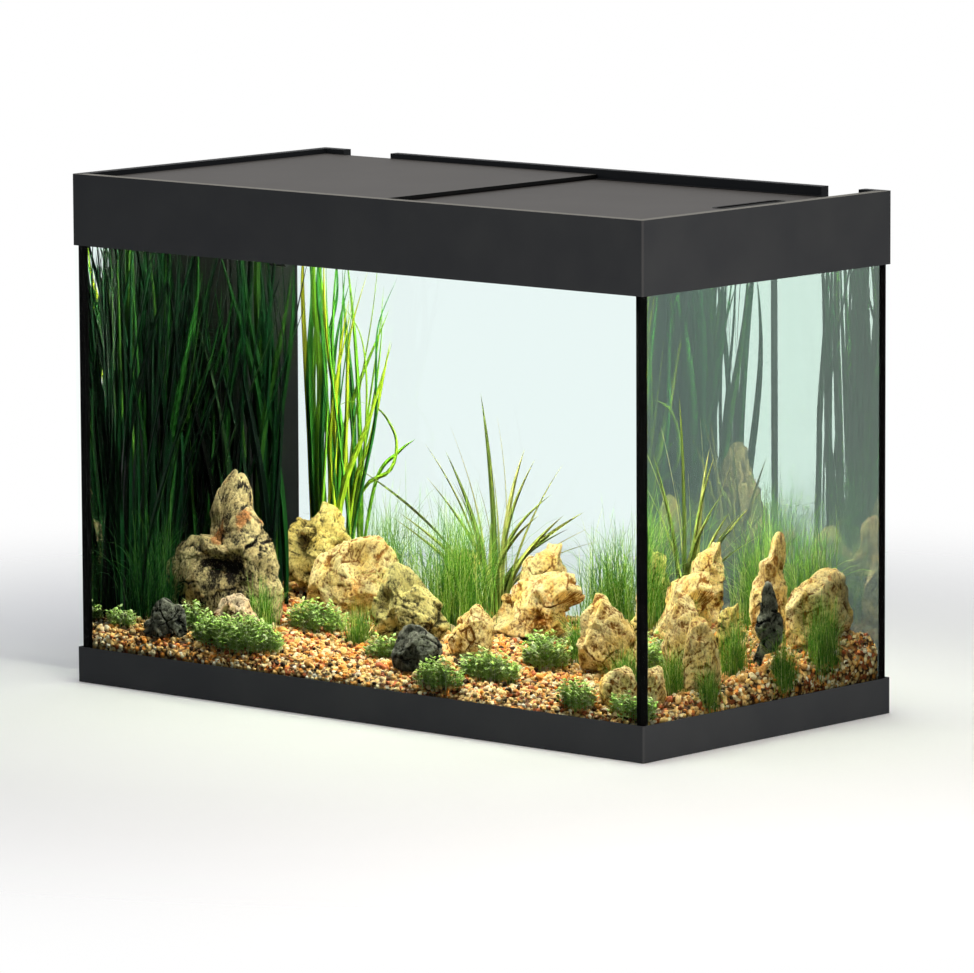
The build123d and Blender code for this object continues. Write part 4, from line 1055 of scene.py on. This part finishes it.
class AQUARIUM_OT_strap_leaves(bpy.types.Operator):
    """Grow the strap leaves of the four beds"""
    bl_idname = "aquarium.strap_leaves"
    bl_label = "Strap leaves"

    # Leaves that stand apart at the edge of the bright bed: half width, then places along the leaf, each the
    # shift to the right of the bed's middle and the height above the floor, in millimetres.
    straps = (
        (6.5, (-14, 100), (14, 210), (50, 284), (86, 376)),
        (3.4, (10, 100), (38, 210), (58, 284), (60, 340), (64, 392), (92, 446)),
        (3.0, (16, 100), (36, 203), (78, 232), (88, 262), (78, 284), (58, 300), (22, 304), (-6, 294)),
        (3.8, (-10, 100), (6, 200), (13, 284), (15, 340), (21, 384), (46, 450)),
        (4.6, (-14, 100), (-8, 220), (-5, 296), (-14, 350), (-20, 410), (-21, 482)),
        (4.2, (-8, 100), (-2, 220), (2, 272), (-10, 340), (-8, 410), (0, 484)),
        (1.8, (0, 100), (30, 220), (38, 300), (36, 352), (26, 384), (0, 412)),
        (3.0, (2, 100), (18, 210), (42, 262), (62, 336), (72, 374)),
        (2.6, (20, 100), (48, 216), (82, 252), (106, 268)),
        (4.0, (-30, 100), (-34, 240), (-28, 340), (-38, 420), (-34, 484)),
        (4.4, (-24, 100), (-22, 230), (-34, 320), (-30, 400), (-44, 484)),
        (3.4, (-18, 100), (-24, 220), (-12, 300), (-26, 360), (-12, 420), (-16, 484)),
        (5.0, (-40, 100), (-44, 220), (-40, 320), (-48, 420), (-46, 484)),
        (4.6, (-48, 100), (-54, 230), (-58, 330), (-52, 420), (-60, 484)),
        (4.2, (-36, 100), (-40, 200), (-54, 300), (-46, 400), (-38, 484)),
        (3.8, (-56, 100), (-60, 240), (-66, 340), (-70, 430), (-64, 484)),
    )

    # For each finish, the greens that its leaves share out among them.
    tones = {
        # The dark and mid green finishes are the strap leaf with painted shade: deep where the filter tower
        # shades it, lighter where light comes in through the left pane.
        "Vallisneria leaf, in painted shade": [
            (0.0, "#010301"), (0.4, "#020904"), (0.7, "#041108"), (0.88, "#0a1f0d"), (1.0, "#1a3214"),
        ],
        "Vallisneria leaf, mid green": [
            (0.0, "#020c06"), (0.35, "#04190a"), (0.65, "#082a12"), (0.85, "#164014"), (1.0, "#325818"),
        ],
        "Vallisneria leaf, bright": [
            (0.0, "#2a6a2c"), (0.35, "#458f2c"), (0.6, "#73ad2a"), (0.8, "#a9c62c"), (1.0, "#d8dc36"),
        ],
        "Sword plant leaf": [(0.0, "#4a5a24"), (0.4, "#7d8a3c"), (0.75, "#a9ae58"), (1.0, "#d0c986")],
    }

    def execute(self, context):
        dark, middling, bright, sword = (leaf_skin(*look) for look in self.tones.items())
        self.ceiling = context.scene.aquarium_water.level - 3 * MM
        # Leaves beyond reach of the left pane take the finish in deep painted shade where the filter tower
        # shades them, and those within reach the lighter one.
        plans = {
            # node: finishes beyond and within reach of the left pane, slot, leaves for each CAD leaf, and in
            # millimetres the scatter of their feet in x and y, half width and sway
            "dark_leaves_front": ((dark, middling), "dark_leaf", 3, (22, 14), 5.0, 42),
            "dark_leaves_side": ((middling, middling), "dark_leaf", 2, (24, 16), 5.6, 42),
            "bright_leaves": ((bright, bright), "bright_leaf", 1, (10, 4), 3.6, 30),
            "sword_plant": ((sword, sword), "bright_leaf", 3, (16, 16), 3.4, 8),
        }
        for seed, (node, plan) in enumerate(plans.items()):
            self.bed(node, SEEDS["leaves"] + seed, *plan)
        return {"FINISHED"}

    def bed(self, node, seed, finishes, slot, copies, scatter, half, sway):
        """Leaves that sway up from the feet of the CAD leaves and bend over under the waterline."""
        draw = np.random.default_rng(seed)
        heap = Heap()
        share = np.linspace(0, 1, 28)
        near_pane = LOW[0] + 75 * MM
        solids = solids_of(node)
        feet = [points[points[:, 2] < points[:, 2].min() + 1 * MM].mean(axis=0) for points, _ in solids]
        tips = [points[points[:, 2].argmax()] for points, _ in solids]
        if node == "dark_leaves_front":
            self.screen(draw, feet, tips)
        for foot, tip in zip(feet, tips):
            for copy in range(copies):
                loose = min(copy, 1)
                start = foot + np.array([*(draw.normal(0, 0.5, 2) * scatter), 0]) * MM * loose
                start[2] = GROUND(start[0], start[1]) - 2 * MM
                end = tip + (start - foot) + np.array(draw.normal(0, 1, 3) * (30, 10, 44)) * MM * loose
                path = start + np.outer(share, end - start)
                path[:, 0] += (end[0] - start[0]) * (share ** 2 - share)
                phase, other = draw.uniform(0, FULL_TURN, 2)
                bend = sway * MM * draw.uniform(0.2, 1.0)
                waves = draw.uniform(2.2, 5.0)
                path[:, 0] += bend * (np.sin(waves * share + phase) - math.sin(phase)) * share ** 0.8
                path[:, 1] += 0.4 * bend * (np.sin(2.6 * share + other) - math.sin(other)) * share
                self.blade(heap, path, half * draw.uniform(0.55, 1.3), phase, draw.uniform(-1, 1),
                           int(start[0] < near_pane))
        if node == "bright_leaves":
            middle = np.mean(feet, axis=0)
            for place, (half, *corners) in zip(np.linspace(-1, 1, len(self.straps)), self.straps):
                line = smooth_line(corners, len(share)) * MM
                away = np.full(len(share), middle[1] + 20 * MM * place)
                path = np.stack([middle[0] + line[:, 0], away, line[:, 1]], axis=1)
                self.blade(heap, path, half, 0.3 * place, 0.3 * place)
        leaves = heap.build(node + "_grown", finishes)
        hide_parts(node)

    def screen(self, draw, feet, tips):
        """Add leaves along the left pane, from the bed towards the front corner."""
        for away in np.linspace(70, 125, 6) * MM:
            foot = np.array([LOW[0] + draw.uniform(5, 20) * MM, LOW[1] + away, 0.0])
            foot[2] = GROUND(*foot[:2])
            feet.append(foot)
            grown = np.array([draw.uniform(-5, 25), draw.uniform(-15, 15), draw.uniform(420, 500)])
            tips.append(foot + grown * MM)

    def blade(self, heap, path, half, phase, twist, index=0):
        """One strap leaf along a path that stays inside the tank, off the filter and under water."""
        clear = 2 * MM
        share = np.linspace(0, 1, len(path))
        over = np.maximum(path[:, 2] - self.ceiling, 0)
        path[:, 2] -= over
        path[:, 0] += over * math.cos(phase)
        if path[0, 0] < FILTER_HIGH.x:
            path[:, 1] = np.minimum(path[:, 1], FILTER_LOW.y - clear)
        else:
            beside = path[:, 1] > FILTER_LOW.y - clear
            path[:, 0] = np.where(beside, np.maximum(path[:, 0], FILTER_HIGH.x + half * MM), path[:, 0])
        path[:, :2] = np.clip(path[:, :2], LOW[:2] + half * MM, HIGH[:2] - half * MM)
        turn = 0.75 * np.sin(phase + 2.2 * share * twist)
        across = np.stack([np.cos(turn), np.sin(turn), 0 * share], axis=1)
        wide = half * MM * (1 - share ** 3) * (0.5 + 0.5 * np.minimum(1, 5 * share))
        heap.put(*sweep(path, across, wide, 0.4 * MM * (1 - 0.8 * share)), index)


class AQUARIUM_OT_hairgrass(bpy.types.Operator):
    """Grow the hairgrass clumps"""
    bl_idname = "aquarium.hairgrass"
    bl_label = "Hairgrass"

    def execute(self, context):
        made = leaf_skin("Hairgrass blade", [
            (0.0, "#2c5c1e"), (0.35, "#4c8428"), (0.7, "#80ac3e"), (0.9, "#b2cc66"), (1.0, "#d8e09a"),
        ], vein=0.8)
        # The same blades with painted shade, for the clump left of shade_end, which lies in shade.
        shaded = leaf_skin("Hairgrass blade, in painted shade", [
            (0.0, "#0a2410"), (0.4, "#14401c"), (0.8, "#2a5c26"), (1.0, "#5c8a44"),
        ], vein=0.8)
        draw = np.random.default_rng(SEEDS["hairgrass"])
        heap = Heap()
        share = np.linspace(0, 1, 7)
        gap, shade_end = 1 * MM, -220 * MM
        for points, _ in solids_of("hairgrass"):
            foot = points[points[:, 2] < points[:, 2].min() + 0.5 * MM].mean(axis=0)
            tip = points[points[:, 2].argmax()]
            tall = tip[2] - foot[2]
            for _ in range(context.scene.aquarium_plants.strands):
                start = foot + np.array([*draw.normal(0, 0.1 * tall + 2 * MM, 2), 0])
                start[2] = GROUND(start[0], start[1]) - 1 * MM
                length = tall * draw.uniform(0.4, 1.2)
                heading = draw.uniform(0, FULL_TURN)
                lean = length * abs(draw.normal(0, 0.42))
                path = np.outer(share, [0, 0, length]) + start
                path[:, 0] += (lean * math.cos(heading) + 0.5 * (tip[0] - foot[0])) * share ** 1.8
                path[:, 1] += lean * math.sin(heading) * share ** 1.8
                path[:, 2] -= 0.4 * lean * share ** 3
                path[:, :2] = np.clip(path[:, :2], LOW[:2] + gap, HIGH[:2] - gap)
                across = np.tile([math.sin(heading), -math.cos(heading), 0.05], (len(share), 1))
                wide = 0.42 * MM * (1 - 0.6 * share)
                heap.put(*sweep(path, across, wide, wide), int(foot[0] < shade_end))
        grass = heap.build("hairgrass_grown", [made, shaded])
        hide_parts("hairgrass")
        return {"FINISHED"}


class AQUARIUM_OT_carpet(bpy.types.Operator):
    """Grow the small-leaved carpet clumps"""
    bl_idname = "aquarium.carpet"
    bl_label = "Carpet plants"

    def execute(self, context):
        settings = context.scene.aquarium_plants
        made = leaf_skin("Pearlweed leaf", [
            (0.0, "#96c452"), (0.45, "#bcdc76"), (0.8, "#daf0a4"), (1.0, "#f6fcd8"),
        ], vein=1.5)
        draw = np.random.default_rng(SEEDS["carpet"])
        heap = Heap()
        share = np.linspace(0, 1, 4)
        rung_gap, stalk = 5 * MM, np.full(len(share), 0.35 * MM)
        for points, _ in solids_of("carpet_plants"):
            low, high = points.min(axis=0), points.max(axis=0)
            centre = (low + high) / 2
            size = high - low
            square_decimetres = size[0] * size[1] * 100
            for _ in range(int(settings.stems * square_decimetres)):
                angle, away = draw.uniform(0, FULL_TURN), math.sqrt(draw.uniform(0, 1))
                start = centre + np.array([math.cos(angle), math.sin(angle), 0]) * size / 2 * away
                start[2] = GROUND(start[0], start[1]) - 1 * MM
                tall = (high[2] - start[2]) * (1 - 0.55 * away ** 2) * draw.uniform(0.5, 1.0)
                lean = np.array([math.cos(angle), math.sin(angle), 0]) * tall * 0.35 * away
                path = start + np.outer(share, [0, 0, tall]) + np.outer(share ** 2, lean)
                heap.put(*sweep(path, np.tile([1.0, 0.3, 0.0], (4, 1)), stalk, stalk))
                for rung in range(1, 2 + int(tall / rung_gap)):
                    at = rung * rung_gap / tall
                    if at > 1.02:
                        break
                    knot = start + np.array([0, 0, tall]) * at + lean * at ** 2
                    heading = draw.uniform(0, math.pi)
                    for half_turn in (0, math.pi):
                        reach = settings.leaflet * draw.uniform(0.75, 1.2)
                        way = heading + half_turn
                        out = np.array([math.cos(way), math.sin(way), draw.uniform(0.1, 0.7)])
                        leaf = knot + np.outer(np.array([0.0, 0.35, 0.75, 1.0]), out * reach)
                        broad = reach * np.array([0.1, 0.42, 0.34, 0.0])
                        aside = np.array([-out[1], out[0], 0.0])
                        heap.put(*sweep(leaf, np.tile(aside, (4, 1)), broad, np.full(4, 0.15 * MM)))
        carpet = heap.build("carpet_grown", [made])
        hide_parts("carpet_plants")
        return {"FINISHED"}


class AQUARIUM_OT_stage(bpy.types.Operator):
    """Set the floor, the studio light and the camera"""
    bl_idname = "aquarium.stage"
    bl_label = "Stage"

    # The camera's place, its turn, drop and roll in degrees and its focal length in millimetres.
    camera_place = (5.2042, -5.8677, 1.3102)
    camera_angles = (-41.493, -7.84, -0.28)
    focal_length = 271.28
    # What the lamps face: the middle of the tank.
    aim = (0, 0, 0.28)

    def execute(self, context):
        settings = context.scene.aquarium_stage
        self.floor()
        self.world(context, settings.ambient)
        self.lamp("key_light", settings.key, "#fff3e6", place=(1.9, -1.0, 0.2), size=0.8)
        self.lamp("top_light", settings.fill, "#ffffff", place=(-0.4, 0.3, 2.8), size=2.4)
        self.camera(context)
        context.scene.view_settings.view_transform = "Standard"
        return {"FINISHED"}

    def floor(self):
        """A pale round floor that fades into the white backdrop."""
        made, add, place = blank("Paper backdrop, matt white")
        away = add("VectorMath", {0: place}, operation="LENGTH")
        fade = add("MapRange", {"Value": away.outputs["Value"], "From Min": 0.55, "From Max": 1.5},
                   interpolation_type="SMOOTHSTEP")
        paper = add("BsdfDiffuse", {"Color": linear("#f8f8f8")})
        clear = add("BsdfTransparent", {"Color": linear("#ffffff")})
        sheet = add("MixShader", {0: fade, 1: paper, 2: clear})
        add("OutputMaterial", {"Surface": sheet})
        mesh = bpy.data.meshes.new("floor")
        corners, radius = 96, 2
        turns = np.linspace(0, FULL_TURN, corners + 1)[:-1]
        rim = [(radius * math.cos(turn), radius * math.sin(turn), 0) for turn in turns]
        mesh.from_pydata(rim, [], [list(range(corners))])
        mesh.materials.append(made)
        link("floor", mesh)

    def world(self, context, ambient):
        """White where it is seen, and softer where it lights matt surfaces."""
        world = bpy.data.worlds.new("studio")
        context.scene.world = world
        world.use_nodes = True
        world.node_tree.nodes.clear()
        add = partial(add_node, world.node_tree)
        light = add("LightPath")
        seen = add("Math", {0: light.outputs["Is Camera Ray"], 1: light.outputs["Is Glossy Ray"]},
                   operation="MAXIMUM")
        seen = add("Math", {0: seen, 1: light.outputs["Is Transmission Ray"]}, operation="MAXIMUM")
        soft = add("Background", {"Color": linear("#f4f8ff"), "Strength": ambient})
        white = add("Background", {"Color": linear("#ffffff"), "Strength": 1.0})
        mixed = add("MixShader", {0: seen, 1: soft, 2: white})
        add("OutputWorld", {"Surface": mixed})

    def lamp(self, name, power, colour, place, size):
        """A square soft box that faces the tank."""
        light = bpy.data.lights.new(name, "AREA")
        light.size = size
        light.energy = power
        light.color = linear(colour)[:3]
        lamp = link(name, light)
        lamp.location = place
        lamp.rotation_euler = (Vector(self.aim) - Vector(place)).to_track_quat("-Z", "Y").to_euler()

    def camera(self, context):
        """A long lens from the front right, a little above the tank."""
        turn, drop, roll = (math.radians(angle) for angle in self.camera_angles)
        forward = Vector((math.sin(turn) * math.cos(drop), math.cos(turn) * math.cos(drop), math.sin(drop)))
        right = Vector((math.cos(turn), -math.sin(turn), 0))
        up = right.cross(forward)
        across = right * math.cos(roll) + up * math.sin(roll)
        upward = up * math.cos(roll) - right * math.sin(roll)
        lens = bpy.data.cameras.new("camera")
        lens.sensor_fit = "HORIZONTAL"
        lens.sensor_width = 36.0
        lens.lens = self.focal_length
        lens.clip_end = 100
        camera = link("camera", lens)
        facing = Matrix((across, upward, -forward)).transposed().to_4x4()
        camera.matrix_world = Matrix.Translation(self.camera_place) @ facing
        context.scene.camera = camera


STEPS = (
    AQUARIUM_OT_frame, AQUARIUM_OT_glass, AQUARIUM_OT_covers, AQUARIUM_OT_lights, AQUARIUM_OT_filter,
    AQUARIUM_OT_water, AQUARIUM_OT_gravel, AQUARIUM_OT_stones, AQUARIUM_OT_strap_leaves,
    AQUARIUM_OT_hairgrass, AQUARIUM_OT_carpet, AQUARIUM_OT_stage,
)


class AQUARIUM_PT_sidebar(bpy.types.Panel):
    """Steps and settings of the aquarium"""
    bl_idname = "AQUARIUM_PT_sidebar"
    bl_label = "Aquarium"
    bl_space_type = "VIEW_3D"
    bl_region_type = "UI"
    bl_category = "Aquarium"

    def draw(self, context):
        for step in STEPS:
            self.layout.operator(step.bl_idname)
        for name, group in GROUPS.items():
            for setting in group.__annotations__:
                self.layout.prop(getattr(context.scene, name), setting)


GROUPS = {
    "aquarium_frame": AquariumFrame,
    "aquarium_water": AquariumWater,
    "aquarium_ground": AquariumGround,
    "aquarium_plants": AquariumPlants,
    "aquarium_stage": AquariumStage,
}


def register():
    for name, group in GROUPS.items():
        bpy.utils.register_class(group)
        setattr(bpy.types.Scene, name, PointerProperty(type=group))
    for made in (*STEPS, AQUARIUM_PT_sidebar):
        bpy.utils.register_class(made)


def unregister():
    for made in (AQUARIUM_PT_sidebar, *reversed(STEPS)):
        bpy.utils.unregister_class(made)
    for name, group in GROUPS.items():
        delattr(bpy.types.Scene, name)
        bpy.utils.unregister_class(group)


def main():
    register()
    for step in STEPS:
        family, call = step.bl_idname.split(".")
        getattr(getattr(bpy.ops, family), call)()


if __name__ == "__main__":
    main()
